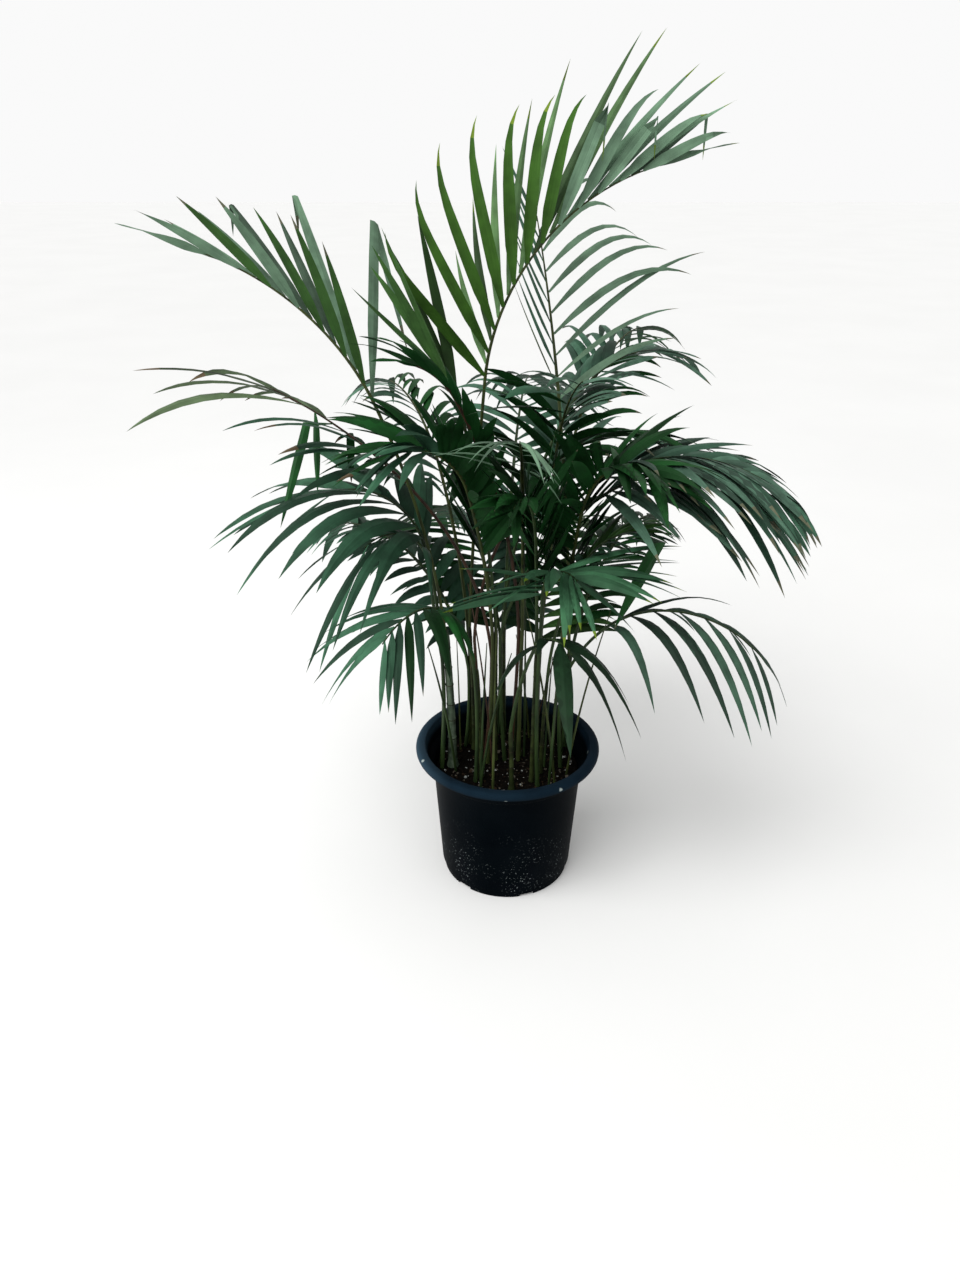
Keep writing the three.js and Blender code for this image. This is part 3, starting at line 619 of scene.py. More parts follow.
def frond_bends(frond):
    """A frond's petiole and blade, as two bends. It stands on its cane's tip or leaves the cane's side."""
    heading = frond["heading"]
    place = cane_place(CANES[frond["cane"] - 1], frond["at"])
    if frond["at"] == 1:
        foot = place["point"] + UP * GAP
    else:
        foot = place["point"] + compass(heading) * (place["radius"] + PETIOLE_RADIUS + PETIOLE_GAP)
    tilts = (frond["rise"], frond["lean"])
    petiole = dict(start=foot, heading=heading, length=frond["petiole"], tilts=tilts)
    start = on_bend(petiole, 1)["point"]
    blade = dict(start=start, heading=heading, length=frond["blade"], tilts=(frond["lean"], frond["nod"]))
    return petiole, blade


# Materials

def tone(red, green, blue, shade=1.0):
    """A screen colour as the linear colour that a shader takes."""
    levels = [min(255, level * shade) / 255 for level in (red, green, blue)]
    return (*[level / 12.92 if level <= 0.04045 else ((level + 0.055) / 1.055) ** 2.4 for level in levels], 1)


BLACK = tone(0, 0, 0)
WHITE = tone(255, 255, 255)


def new_material(name, roughness, specular):
    material = bpy.data.materials.new(name)
    material.use_nodes = True
    shader = material.node_tree.nodes["Principled BSDF"]
    shader.inputs["Roughness"].default_value = roughness
    shader.inputs["Specular IOR Level"].default_value = specular
    return material, material.node_tree, shader


def add_node(tree, kind, **values):
    """A node with some of its sockets set. A low line in a name stands for a space."""
    node = tree.nodes.new(kind)
    for name, value in values.items():
        node.inputs[name.replace("_", " ")].default_value = value
    return node


def mapped(tree, source="Object", scale=(1, 1, 1)):
    """A texture place that is stretched by scale along each axis."""
    coordinates = tree.nodes.new("ShaderNodeTexCoord")
    mapping = add_node(tree, "ShaderNodeMapping", Scale=scale)
    tree.links.new(coordinates.outputs[source], mapping.inputs["Vector"])
    return mapping.outputs["Vector"]


def noise(tree, place, scale, detail=3.0, roughness=0.55):
    node = add_node(tree, "ShaderNodeTexNoise", Scale=scale, Detail=detail, Roughness=roughness)
    tree.links.new(place, node.inputs["Vector"])
    return node.outputs["Fac"]


def ramp(tree, factor, low, high, low_place=0.35, high_place=0.65):
    """A colour that changes from low to high between two places of the factor."""
    node = tree.nodes.new("ShaderNodeValToRGB")
    node.color_ramp.elements[0].position = low_place
    node.color_ramp.elements[0].color = low
    node.color_ramp.elements[1].position = high_place
    node.color_ramp.elements[1].color = high
    tree.links.new(factor, node.inputs["Fac"])
    return node.outputs["Color"]


def ranged(tree, value, start, end, most):
    """A share that grows from 0 where the value is at start to its most where it is at end."""
    node = add_node(tree, "ShaderNodeMapRange", From_Min=start, From_Max=end, To_Max=most)
    tree.links.new(value, node.inputs["Value"])
    return node.outputs["Result"]


def blend_colours(tree, factor, first, second, mode="MIX"):
    node = tree.nodes.new("ShaderNodeMix")
    node.data_type = "RGBA"
    node.blend_type = mode
    sockets = [socket for socket in node.inputs if socket.enabled]
    for socket, value in zip(sockets, (factor, first, second)):
        if isinstance(value, bpy.types.NodeSocket):
            tree.links.new(value, socket)
        else:
            socket.default_value = value
    return [socket for socket in node.outputs if socket.enabled][0]


def dress(tree, shader, colour, height, strength, distance):
    """Gives a shader its colour and a fine relief."""
    tree.links.new(colour, shader.inputs["Base Color"])
    node = add_node(tree, "ShaderNodeBump", Strength=strength, Distance=distance)
    tree.links.new(height, node.inputs["Height"])
    tree.links.new(node.outputs["Normal"], shader.inputs["Normal"])


def leaf_material(name, colour, shade):
    """Leaf skin: soft mottling over the plant and fine veins along each leaflet."""
    material, tree, shader = new_material(name, 0.55, 0.07)
    mottle = noise(tree, mapped(tree), 26.0)
    flesh = ramp(tree, mottle, tone(*colour, shade=shade * 0.86), tone(*colour, shade=shade * 1.12))
    veins = noise(tree, mapped(tree, "UV", (900, 14, 1)), 1.0, 2.0)
    streaks = ramp(tree, veins, tone(228, 228, 228), WHITE, 0.3, 0.7)
    dress(tree, shader, blend_colours(tree, 1.0, flesh, streaks, "MULTIPLY"), veins, 0.35, 0.0006)
    return material


def stalk_material(name, dark, light):
    """Petiole skin: long streaks from its dark to its light tone."""
    material, tree, shader = new_material(name, 0.55, 0.16)
    streaks = noise(tree, mapped(tree, scale=(160, 160, 14)), 1.0)
    dress(tree, shader, ramp(tree, streaks, tone(*dark), tone(*light), 0.32, 0.72), streaks, 0.3, 0.0006)
    return material


def cane_material(name, dark, light, scale):
    """Cane skin: long streaks under blotchy stains."""
    material, tree, shader = new_material(name, 0.65, 0.14)
    streaks = noise(tree, mapped(tree, scale=(140, 140, 20)), 1.0)
    bark = ramp(tree, streaks, tone(*dark), tone(*light), 0.3, 0.75)
    stains = ramp(tree, noise(tree, mapped(tree), scale), tone(150, 150, 150), WHITE, 0.35, 0.6)
    dress(tree, shader, blend_colours(tree, 1.0, bark, stains, "MULTIPLY"), streaks, 0.4, 0.0008)
    return material


def pot_rim_painted_light_and_flecks(tree, place, across, cloud):
    """Blue lighter than the wall's as painted top light, paler still towards the left side as painted light
    and sheen from the left, with a few pale flecks.
    """
    # The rim's blue, lighter than the wall's, is painted top light
    rim = ramp(tree, cloud, tone(9, 18, 26), tone(16, 29, 39))
    # Paler towards the left side: painted light and sheen from the left
    painted_side_light = ranged(tree, across, -RIM_RADIUS * 0.6 * MM, -RIM_RADIUS * MM, 0.85)
    rim = blend_colours(tree, painted_side_light, rim, tone(42, 60, 72))
    flecks = ramp(tree, noise(tree, place, 42.0, 1.0), BLACK, WHITE, 0.74, 0.76)
    return blend_colours(tree, flecks, rim, tone(132, 142, 140))


def pot_dust(tree, place, height):
    """Where dust lies: fine specks in patches, thickest low on the wall."""
    specks = ramp(tree, noise(tree, place, 300.0, 3.0), BLACK, WHITE, 0.62, 0.7)
    patches = ramp(tree, noise(tree, place, 22.0, 3.0), BLACK, WHITE, 0.45, 0.62)
    dust = blend_colours(tree, 1.0, specks, patches, "MULTIPLY")
    start, end = DUST_FADE
    return blend_colours(tree, ranged(tree, height, start * MM, end * MM, 0.8), BLACK, dust)


def pot_material():
    """Blue-black moulded plastic with a rim painted lighter as top light, dust on the wall and a few scuffs.
    """
    material, tree, shader = new_material("pot_plastic", 0.5, 0.015)
    shader.inputs["Specular Tint"].default_value = tone(98, 170, 215)
    place = mapped(tree)
    split = add_node(tree, "ShaderNodeSeparateXYZ")
    tree.links.new(place, split.inputs["Vector"])
    height = split.outputs["Z"]
    cloud = noise(tree, place, 9.0, 4.0)
    wall = ramp(tree, cloud, tone(1, 3, 5), tone(4, 7, 10))
    rim = pot_rim_painted_light_and_flecks(tree, place, split.outputs["X"], cloud)
    # From the first height to the second the wall turns into the rim's painted top light
    start, end = RIM_PAINTED_LIGHT_HEIGHTS
    body = blend_colours(tree, ranged(tree, height, start * MM, end * MM, 1.0), wall, rim)
    dusted = blend_colours(tree, pot_dust(tree, place, height), body, tone(122, 130, 130))
    scuffs = noise(tree, mapped(tree, scale=(60, 60, 9)), 1.0, 5.0, 0.7)
    scuffs = ramp(tree, scuffs, BLACK, tone(60, 60, 60), 0.58, 0.8)
    worn = blend_colours(tree, scuffs, dusted, tone(40, 48, 54))
    dress(tree, shader, worn, noise(tree, place, 420.0, 2.0), 0.12, 0.0004)
    return material


def soil_material():
    material, tree, shader = new_material("potting_mix", 0.95, 0.05)
    crumbs = noise(tree, mapped(tree), 210.0, 5.0, 0.7)
    dress(tree, shader, ramp(tree, crumbs, tone(5, 4, 3), tone(20, 16, 12), 0.38, 0.68), crumbs, 0.9, 0.003)
    return material


def chip_material(name, dark, light):
    material, tree, shader = new_material(name, 0.9, 0.05)
    grain = noise(tree, mapped(tree), 340.0, 4.0)
    dress(tree, shader, ramp(tree, grain, tone(*dark), tone(*light)), grain, 0.5, 0.001)
    return material


def floor_material():
    material, tree, shader = new_material("floor_paint", 0.8, 0.2)
    paint = ramp(tree, noise(tree, mapped(tree), 1.5), tone(205, 205, 204), tone(207, 207, 206))
    tree.links.new(paint, shader.inputs["Base Color"])
    return material


def make_leaf_materials():
    """Every leaf material by name: three shades and an underside of each tint, and the tips."""
    made = {}
    for tint, colour in LEAF_TINTS.items():
        for word, shade in (*LEAF_SHADES.items(), ("under", UNDERSIDE_SHADE)):
            made[f"{tint}_{word}"] = leaf_material(f"leaf_{tint}_{word}", colour, shade)
    for word, colour in TIP_TINTS.items():
        made[f"tip_{word}"] = leaf_material(f"leaf_tip_{word}", colour, 1.0)
    return made


def add_object(name, data):
    added = bpy.data.objects.new(name, data)
    bpy.context.scene.collection.objects.link(added)
    return added


# Modelling by hand: a primitive, then operators in edit mode

def start_from(add_primitive, name, **settings):
    """A new primitive in edit mode, with all of it selected and nothing else."""
    bpy.ops.object.select_all(action="DESELECT")
    add_primitive(**settings)
    piece = bpy.context.object
    piece.name = piece.data.name = name
    bpy.ops.object.mode_set(mode="EDIT")
    bpy.ops.mesh.select_all(action="SELECT")
    return piece


def start_round(name, sides, radius, place=(0, 0, 0)):
    """A filled circle to extrude from. Its radius and place are in millimetres."""
    settings = dict(vertices=sides, radius=radius * MM, fill_type="NGON", location=Vector(place) * MM)
    return start_from(bpy.ops.mesh.primitive_circle_add, name, **settings)


def raise_ring(step, scale, centre):
    """Extrudes what is selected by step, then scales it level about its centre. Places are in metres."""
    bpy.ops.mesh.extrude_region_move(TRANSFORM_OT_translate=dict(value=step))
    bpy.ops.transform.resize(value=(scale, scale, 1), center_override=centre)


def grow_round(profile):
    """Extrudes a round face through radius and height pairs in millimetres, about the axis."""
    radius, height = profile[0]
    for next_radius, next_height in profile[1:]:
        rise = (0, 0, (next_height - height) * MM)
        raise_ring(rise, next_radius / radius, (0, 0, next_height * MM))
        radius, height = next_radius, next_height


def close_model(angle):
    """Leaves edit mode with the faces outwards, the place applied and soft shading."""
    bpy.ops.mesh.select_all(action="SELECT")
    bpy.ops.mesh.normals_make_consistent(inside=False)
    bpy.ops.object.mode_set(mode="OBJECT")
    bpy.ops.object.transform_apply(location=True, rotation=True, scale=True)
    bpy.ops.object.shade_smooth_by_angle(angle=math.radians(angle))


def paint(piece, *finishes):
    piece.data.materials.clear()
    for finish in finishes:
        piece.data.materials.append(finish)
    return piece


def arc(centre, radius, turns):
    """Places on a circle in the pot's section, for turns from outwards to upwards."""
    x, z = centre
    angles = [math.radians(turn) for turn in turns]
    return [(x + radius * math.cos(angle), z + radius * math.sin(angle)) for angle in angles]


def pot_profile():
    """The pot's section, up the outside, over the rim and down the inside. Each bend of the wall
    takes two or three places close together, which round it softly."""
    bead_z = POT_HEIGHT - RIM_BEAD
    bead_radius = RIM_RADIUS - RIM_BEAD
    lip_z = bead_z - RIM_LIP
    taper_radii = (LEDGE_RADIUS, SHOULDER_RADIUS)
    taper_heights = (LEDGE_Z, SHOULDER_Z)
    return [
        (FOOT_RADIUS - FOOT_BEVEL, 0),
        (FOOT_RADIUS, FOOT_BEVEL),
        (FOOT_RADIUS + FOOT_BEVEL * 0.5, LEDGE_Z * 0.5),
        (FOOT_RADIUS + FOOT_BEVEL, LEDGE_Z - FOOT_BEVEL),
        (LEDGE_RADIUS - 0.6, LEDGE_Z - FOOT_BEVEL + 0.3),
        (LEDGE_RADIUS, LEDGE_Z),
        (mix(taper_radii, 0.35), mix(taper_heights, 0.35)),
        (mix(taper_radii, 0.7), mix(taper_heights, 0.7)),
        (SHOULDER_RADIUS - 0.2, SHOULDER_Z - 3),
        (SHOULDER_RADIUS + 0.6, SHOULDER_Z),
        (SHOULDER_RADIUS + 5, SHOULDER_Z + 4.4),
        (COLLAR_RADIUS - 0.6, COLLAR_Z - 1.6),
        (COLLAR_RADIUS, COLLAR_Z + 1),
        (COLLAR_RADIUS + WALL - 0.6, lip_z - 2),
        (COLLAR_RADIUS + WALL + 0.4, lip_z - 0.6),
        (COLLAR_RADIUS + WALL + 2, lip_z),
        (RIM_RADIUS - 3, lip_z),
        (RIM_RADIUS - 1, lip_z + 1),
        (RIM_RADIUS - 0.2, lip_z + 3),
        *arc((bead_radius, bead_z), RIM_BEAD, range(0, 91, 15)),
        (RIM_INNER_RADIUS + RIM_BEVEL, POT_HEIGHT),
        (RIM_INNER_RADIUS + 1, POT_HEIGHT - 0.9),
        (RIM_INNER_RADIUS, POT_HEIGHT - RIM_BEVEL),
        (COLLAR_RADIUS - WALL + 0.4, COLLAR_Z + WALL + 1),
        (COLLAR_RADIUS - WALL - 1, COLLAR_Z + WALL - 0.8),
        (SHOULDER_RADIUS - WALL + 1, SHOULDER_Z + WALL + 0.8),
        (SHOULDER_RADIUS - WALL, SHOULDER_Z + WALL - 1),
        (mix((SHOULDER_RADIUS, FOOT_RADIUS), 0.5) - WALL, SHOULDER_Z * 0.5),
        (FOOT_RADIUS - WALL, FLOOR + FLOOR_BEVEL),
        (FOOT_RADIUS - WALL - FLOOR_BEVEL, FLOOR),
        (FOOT_RADIUS * 0.5, FLOOR),
    ]


def model_notch_cutters():
    """One rounded block through the foot's edge, copied round the foot."""
    size = (2 * NOTCH_DEPTH * MM, NOTCH_WIDTH * MM, 2 * NOTCH_HEIGHT * MM)
    cutter = start_from(bpy.ops.mesh.primitive_cube_add, "notch_cutter", size=1)
    bpy.ops.transform.resize(value=size, center_override=(0, 0, 0))
    bpy.ops.mesh.bevel(offset=NOTCH_BEVEL * MM, segments=2)
    bpy.ops.object.mode_set(mode="OBJECT")
    copies = []
    for number in range(NOTCH_COUNT):
        heading = NOTCH_HEADING + 360 * number / NOTCH_COUNT
        copy = cutter.copy()
        copy.data = cutter.data.copy()
        copy.location = compass(heading) * FOOT_RADIUS * MM
        copy.rotation_euler.z = math.radians(heading)
        bpy.context.scene.collection.objects.link(copy)
        copies.append(copy)
    bpy.data.objects.remove(cutter)
    return copies


def model_pot():
    pot = start_round("nursery_pot", POT_SIDES, FOOT_RADIUS - FOOT_BEVEL)
    grow_round(pot_profile())
    close_model(SOFT_POT)
    for cutter in model_notch_cutters():
        cut = pot.modifiers.new("drain_notch", "BOOLEAN")
        cut.operation = "DIFFERENCE"
        cut.object = cutter
        bpy.context.view_layer.objects.active = pot
        bpy.ops.object.modifier_apply(modifier=cut.name)
        bpy.data.objects.remove(cutter)
    bpy.ops.object.shade_smooth_by_angle(angle=math.radians(SOFT_POT))
    return paint(pot, pot_material())


def heave_crumbs(soil, reach):
    """Lifts and sinks the bed of the potting mix in crumbs, out to a reach from the axis."""
    group = soil.vertex_groups.new(name="top")
    for vertex in soil.data.vertices:
        if vertex.co.z > (SOIL_BED_Z - 0.2) * MM:
            weight = 1 - smooth_share(vertex.co.xy.length, reach * 0.9, reach)
            group.add([vertex.index], weight, "REPLACE")
    crumbs = bpy.data.textures.new("soil_crumbs", "CLOUDS")
    crumbs.noise_scale = CRUMB_SPACING * MM
    crumbs.noise_depth = 3
    heave = soil.modifiers.new("crumbs", "DISPLACE")
    heave.texture = crumbs
    heave.direction = "Z"
    heave.strength = SOIL_SWELL * MM
    heave.mid_level = 0.5
    heave.vertex_group = group.name
    bpy.ops.object.modifier_apply(modifier=heave.name)


def model_soil():
    """Potting mix up to SOIL_Z, with an uneven crumbly top that stays clear of the wall."""
    foot_radius = FOOT_RADIUS - WALL - GAP
    foot_z = FLOOR + FLOOR_BEVEL
    slope = (SHOULDER_RADIUS - FOOT_RADIUS) / (SHOULDER_Z + WALL - foot_z)
    edge_radius = foot_radius + slope * (SOIL_EDGE_Z - foot_z)
    start = (foot_radius - FLOOR_BEVEL, FLOOR + GAP)
    bed = [((edge_radius - 5) * (1 - ring / SOIL_RINGS) + 1, SOIL_BED_Z) for ring in range(SOIL_RINGS)]
    soil = start_round("potting_mix_bed", SOIL_SIDES, start[0], (0, 0, start[1]))
    grow_round([
        start,
        (foot_radius, foot_z + GAP),
        (edge_radius - 0.5, SOIL_EDGE_Z),
        (edge_radius - 2.5, SOIL_BED_Z - 0.4),
        *bed,
    ])
    close_model(SOFT_SOIL)
    heave_crumbs(soil, (edge_radius - 4) * MM)
    return paint(soil, soil_material())


def cane_levels(cane, luck):
    """Heights up a cane with its swelling at each, and the heights of its nodes."""
    levels = list(CANE_FOOT_SHAPE)
    nodes = []
    height = CANE_FOOT_SHAPE[-1][0]
    while height < cane["height"] - CANE_PLAIN_TOP:
        height += CANE_NODE_SPACING * luck.uniform(*CANE_NODE_SPREAD)
        levels += [(height + rise, swell) for rise, swell in CANE_NODE_SHAPE]
        nodes.append(height)
    levels += [(cane["height"] + rise, swell) for rise, swell in CANE_SHEATH_SHAPE]
    return levels, nodes


def model_cane(number, cane, finishes):
    """A cane extruded upwards from its swollen foot, with ringed nodes and a sheath on top."""
    levels, nodes = cane_levels(cane, random.Random(CANE_SEED + number))
    foot = cane_place(cane, 0)
    radius = foot["radius"] * CANE_FLARE
    piece = start_round(f"cane_stem_{number}", CANE_SIDES, radius, foot["point"])
    place = foot["point"]
    for level, swell in levels:
        station = cane_place(cane, level / cane["height"])
        step = (station["point"] - place) * MM
        raise_ring(step, station["radius"] * swell / radius, station["point"] * MM)
        place = station["point"]
        radius = station["radius"] * swell
    close_model(SOFT_CANE)
    paint(piece, *finishes)
    for face in piece.data.polygons:
        level = face.center.z / MM - SOIL_Z - GAP
        if any(abs(level - node) < CANE_RING_REACH for node in nodes):
            face.material_index = 1
    return piece


# Many small things: joined meshes from arrays

def new_heap():
    """A mesh in the making: corners, faces, the finish of each face, and a texture place for each corner."""
    return dict(corners=[], faces=[], finishes=[], places=[])


def add_ring(heap, points, places=None):
    """Adds points to a heap, and gives back their numbers there."""
    first = len(heap["corners"])
    heap["corners"].extend(points)
    heap["places"].extend(places or [(0, 0)] * len(points))
    return list(range(first, first + len(points)))


def add_face(heap, corners, finish):
    heap["faces"].append(tuple(corners))
    heap["finishes"].append(finish)


def skin(heap, low, high, finishes):
    """Four-sided faces from one ring to the next, each with its own finish."""
    for index, corner in enumerate(low):
        after = (index + 1) % len(low)
        add_face(heap, (corner, low[after], high[after], high[index]), finishes[index])


def add_tube(heap, rings, finish):
    """A closed tube through rings of points."""
    low = None
    for points in rings:
        high = add_ring(heap, points)
        if low is None:
            add_face(heap, reversed(high), finish)
        else:
            skin(heap, low, high, [finish] * len(high))
        low = high
    add_face(heap, low, finish)


def heap_piece(name, heap, materials, angle):
    """Makes the heap one object of the scene, with only the materials that its faces use."""
    used = sorted(set(heap["finishes"]))
    mesh = bpy.data.meshes.new(name)
    mesh.from_pydata([corner * MM for corner in heap["corners"]], [], heap["faces"])
    for finish in used:
        mesh.materials.append(materials[finish])
    slots = np.array([used.index(finish) for finish in heap["finishes"]], dtype=np.int32)
    mesh.polygons.foreach_set("material_index", slots)
    layer = mesh.uv_layers.new(name="along")
    corner_of = np.empty(len(mesh.loops), dtype=np.int32)
    mesh.loops.foreach_get("vertex_index", corner_of)
    places = np.array(heap["places"], dtype=np.float32) * MM
    layer.data.foreach_set("uv", places[corner_of].ravel())
    mesh.update()
    piece = add_object(name, mesh)
    bpy.ops.object.select_all(action="DESELECT")
    piece.select_set(True)
    bpy.context.view_layer.objects.active = piece
    bpy.ops.object.shade_smooth_by_angle(angle=math.radians(angle))
    return piece


def limb_tree(limbs):
    """Corners and faces of all the limbs in one search tree."""
    corners = []
    faces = []
    for limb in limbs:
        first = len(corners)
        corners.extend(limb["corners"])
        faces.extend([tuple(first + corner for corner in face) for face in limb["faces"]])
    return BVHTree.FromPolygons(corners, faces)


def touches(tree, other):
    return bool(tree.overlap(other))


# Stalks and shoots

def tube_ring(station, sides, channel=1):
    """Points round a stalk at one of its stations. A channel below 1 sinks the one on top."""
    points = []
    for corner in range(sides):
        turn = 2 * math.pi * corner / sides
        depth = 1 if corner else channel
        spoke = station["over"] * math.cos(turn) * depth + station["side"] * math.sin(turn)
        points.append(station["point"] + spoke * station["radius"])
    return points


def sucker_stations(frond, foot):
    """Below its foot a petiole runs down beside its cane to the potting mix, a little way off it."""
    cane = CANES[frond["cane"] - 1]
    level = compass(frond["heading"])
    stations = []
    for step in range(SUCKER_STEPS):
        share = step / SUCKER_STEPS
        place = cane_place(cane, share * frond["at"])
        off = place["radius"] + PETIOLE_RADIUS + PETIOLE_GAP + SUCKER_SPREAD * (1 - share) ** 2
        radius = PETIOLE_RADIUS * (1 + SUCKER_SWELL * (1 - share) ** 3)
        point = place["point"] + level * off
        stations.append(dict(point=point, side=foot["side"], over=foot["side"].cross(UP), radius=radius))
    return stations


def stalk_stations(frond):
    """Places down the middle of a frond's stalk, each with its radius."""
    petiole, blade = frond_bends(frond)
    stations = []
    for step in range(PETIOLE_STEPS):
        share = step / PETIOLE_STEPS
        stations.append(station_on(petiole, share, mix((PETIOLE_RADIUS, RACHIS_RADIUS), share)))
    if frond["at"] < 1:
        stations = sucker_stations(frond, stations[0]) + stations
    for step in range(RACHIS_STEPS + 1):
        share = step / RACHIS_STEPS
        radius = mix((RACHIS_RADIUS, RACHIS_TIP_RADIUS), share)
        stations.append(station_on(blade, share * frond["span"], radius))
    return stations


def grow_stalk(frond):
    heap = new_heap()
    rings = [tube_ring(station, STALK_SIDES, STALK_CHANNEL) for station in stalk_stations(frond)]
    add_tube(heap, rings, "stalk")
    return heap


def deal_shoot(luck):
    """The rings of one thin stem, which starts anywhere on the potting mix and leans any way."""
    distance = SHOOT_FIELD * luck.random() ** 0.5
    spot = compass(luck.uniform(0, 360)) * distance
    lean = luck.uniform(*SHOOT_LEAN)
    heading = luck.uniform(0, 360)
    height = luck.uniform(*SHOOT_HEIGHTS)
    radius = luck.uniform(*SHOOT_RADII)
    start = spot + UP * (SOIL_Z + GAP)
    bend = dict(start=start, heading=heading, length=height, tilts=(lean * SHOOT_FOOT_LEAN, lean))
    rings = []
    for step in range(SHOOT_STEPS + 1):
        share = step / SHOOT_STEPS
        station = station_on(bend, share, radius * (1 - SHOOT_TAPER * share ** 2))
        rings.append(tube_ring(station, SHOOT_SIDES))
    return rings


def grow_shoots(limbs):
    """Thin young and dry stems between the canes. One that would touch a limb is tried elsewhere."""
    luck = random.Random(SHOOT_SEED)
    heap = new_heap()
    grown = [limb_tree(limbs)]
    for _ in range(SHOOT_TRIES):
        if len(grown) > SHOOT_COUNT:
            break
        rings = deal_shoot(luck)
        kind = luck.choices(SHOOT_KINDS, SHOOT_ODDS)[0]
        shoot = new_heap()
        add_tube(shoot, rings, kind)
        tree = limb_tree([shoot])
        if any(touches(tree, other) for other in grown):
            continue
        grown.append(tree)
        add_tube(heap, rings, kind)
    return heap


# Leaflets: thin folded strips that end in a fine point

def slot_values(frond, slot):
    """A frond's values at one leaflet. Its flank's come before the frond's, and its own before both."""
    flank = frond["right"] if slot % 2 == 0 else frond["left"]
    return {**frond, **flank, **frond["own"].get(slot, {})}


def leaflet_rule(values, share, flank, luck):
    """The middle line and width of one leaflet. flank is 1 on the right of the rachis, -1 on the left."""
    loose = values["loose"]
    open_angle = along(values["open"], share) + luck.gauss(0, STRAY_OPEN) * loose
    lift = along(values["vee"], share) + flank * values["roll"] + luck.gauss(0, STRAY_LIFT) * loose
    stretch = luck.uniform(1 - STRAY_SHORT * loose, 1 + STRAY_LONG)
    length = values["leaflet"] * along(values["size"], share) * stretch
    crowded = LEAFLET_CROWDING * values["blade"] / values["pairs"] * math.sin(math.radians(open_angle))
    widest = values["width"] * luck.uniform(*SPREAD_WIDTH)
    longer = (length / LEAFLET_NOMINAL) ** LEAFLET_WIDTH_POWER
    return dict(
        open=open_angle,
        lift=lift,
        flank=flank,
        length=length,
        width=min(max(crowded, LEAFLET_NARROWEST * widest), widest * longer),
        droop=along(values["droop"], share) * luck.uniform(*SPREAD_DROOP),
        bow=values["bow"] + luck.gauss(0, STRAY_BOW) * loose,
        hook=values["hook"],
        twist=luck.gauss(0, STRAY_TWIST) * loose,
        pitch=values["pitch"],
        fold=LEAFLET_FOLD * luck.uniform(*SPREAD_FOLD),
        point=values["point"],
        grain=luck.uniform(0, GRAIN_FIELD),
        kink=values["kink"],
    )


def fullness(reach, point):
    """A leaflet's share of its full width: narrow at the foot, widest at a quarter, then a long point."""
    if reach < LEAFLET_WIDEST:
        return LEAFLET_FOOT + (1 - LEAFLET_FOOT) * smooth_share(reach, LEAFLET_FOOT_REACH, LEAFLET_WIDEST)
    return 1 - ((reach - LEAFLET_WIDEST) / (1 - LEAFLET_WIDEST)) ** point


def leaflet_line(rule, foot, station, change, length):
    """The middle of a leaflet at each of its rings and its tip, and which way it heads there."""
    open_angle = math.radians(rule["open"])
    lift = math.radians(rule["lift"] + change)
    out = station["side"] * (rule["flank"] * math.cos(lift)) + station["over"] * math.sin(lift)
    aim = station["along"] * math.cos(open_angle) + out * math.sin(open_angle)
    ahead = (station["along"] - aim * station["along"].dot(aim)).normalized()
    bow = ahead * rule["bow"]
    power = LEAFLET_SAG_POWER
    points = []
    headings = []
    for reach in (*LEAFLET_REACHES, 1):
        sag = UP * (rule["droop"] * reach ** power)
        hook = ahead * (rule["hook"] * reach ** LEAFLET_HOOK_POWER)
        points.append(foot + (aim * reach - sag + bow * reach ** 3 + hook) * length)
        fall = UP * (power * rule["droop"] * reach ** (power - 1))
        swerve = ahead * (LEAFLET_HOOK_POWER * rule["hook"] * reach ** (LEAFLET_HOOK_POWER - 1))
        headings.append((aim - fall + bow * (3 * reach ** 2) + swerve).normalized())
    if rule["kink"]:
        level_ahead = Vector((*station["along"].xy, 0)).normalized()
        bend_line(points, headings, out, level_ahead, *rule["kink"])
    return points, headings


def bend_line(points, headings, out, level_ahead, ring, turn, back=0):
    """Bends a leaflet sharply over at one of its rings, so that the rest hangs, a little out and back."""
    hang = (headings[ring] * (1 - turn) - UP * turn + out * BEND_SWING - level_ahead * back).normalized()
    lengths = [(after - before).length for before, after in zip(points, points[1:])]
    for later in range(ring + 1, len(points)):
        points[later] = points[later - 1] + hang * lengths[later - 1]
        headings[later] = hang
    headings[ring] = (headings[ring] + hang).normalized()


def leaflet_rings(rule, foot, station, change, scale):
    """The corners of a leaflet's rings, and its tip. It turns slowly from the rachis to its own heading."""
    points, headings = leaflet_line(rule, foot, station, change, rule["length"] * scale)
    rings = []
    last = None
    for reach, point, heading in zip(LEAFLET_REACHES, points, headings):
        across = station["along"] - heading * station["along"].dot(heading)
        if last is not None:
            across = across.normalized() * LEAFLET_TURN_SHARE + last * (1 - LEAFLET_TURN_SHARE)
            across -= heading * across.dot(heading)
        across.normalize()
        last = across.copy()
        ridge = heading.cross(across) * rule["flank"]
        turn = math.radians(rule["pitch"] + rule["twist"] * reach)
        tilted = ridge * math.cos(turn) + across * math.sin(turn)
        outwards = tilted.cross(heading)
        full = fullness(reach, rule["point"])
        half = rule["width"] * full / 2
        fall = half * math.tan(math.radians(rule["fold"]))
        rings.append((
            point + outwards * half - tilted * fall,
            point,
            point - outwards * half - tilted * fall,
            point - tilted * LEAFLET_THICKNESS * max(LEAFLET_THINNEST, full),
        ))
    return rings, points[-1]


RING_FACES = [(i, (i + 1) % 4) for i in range(4)]


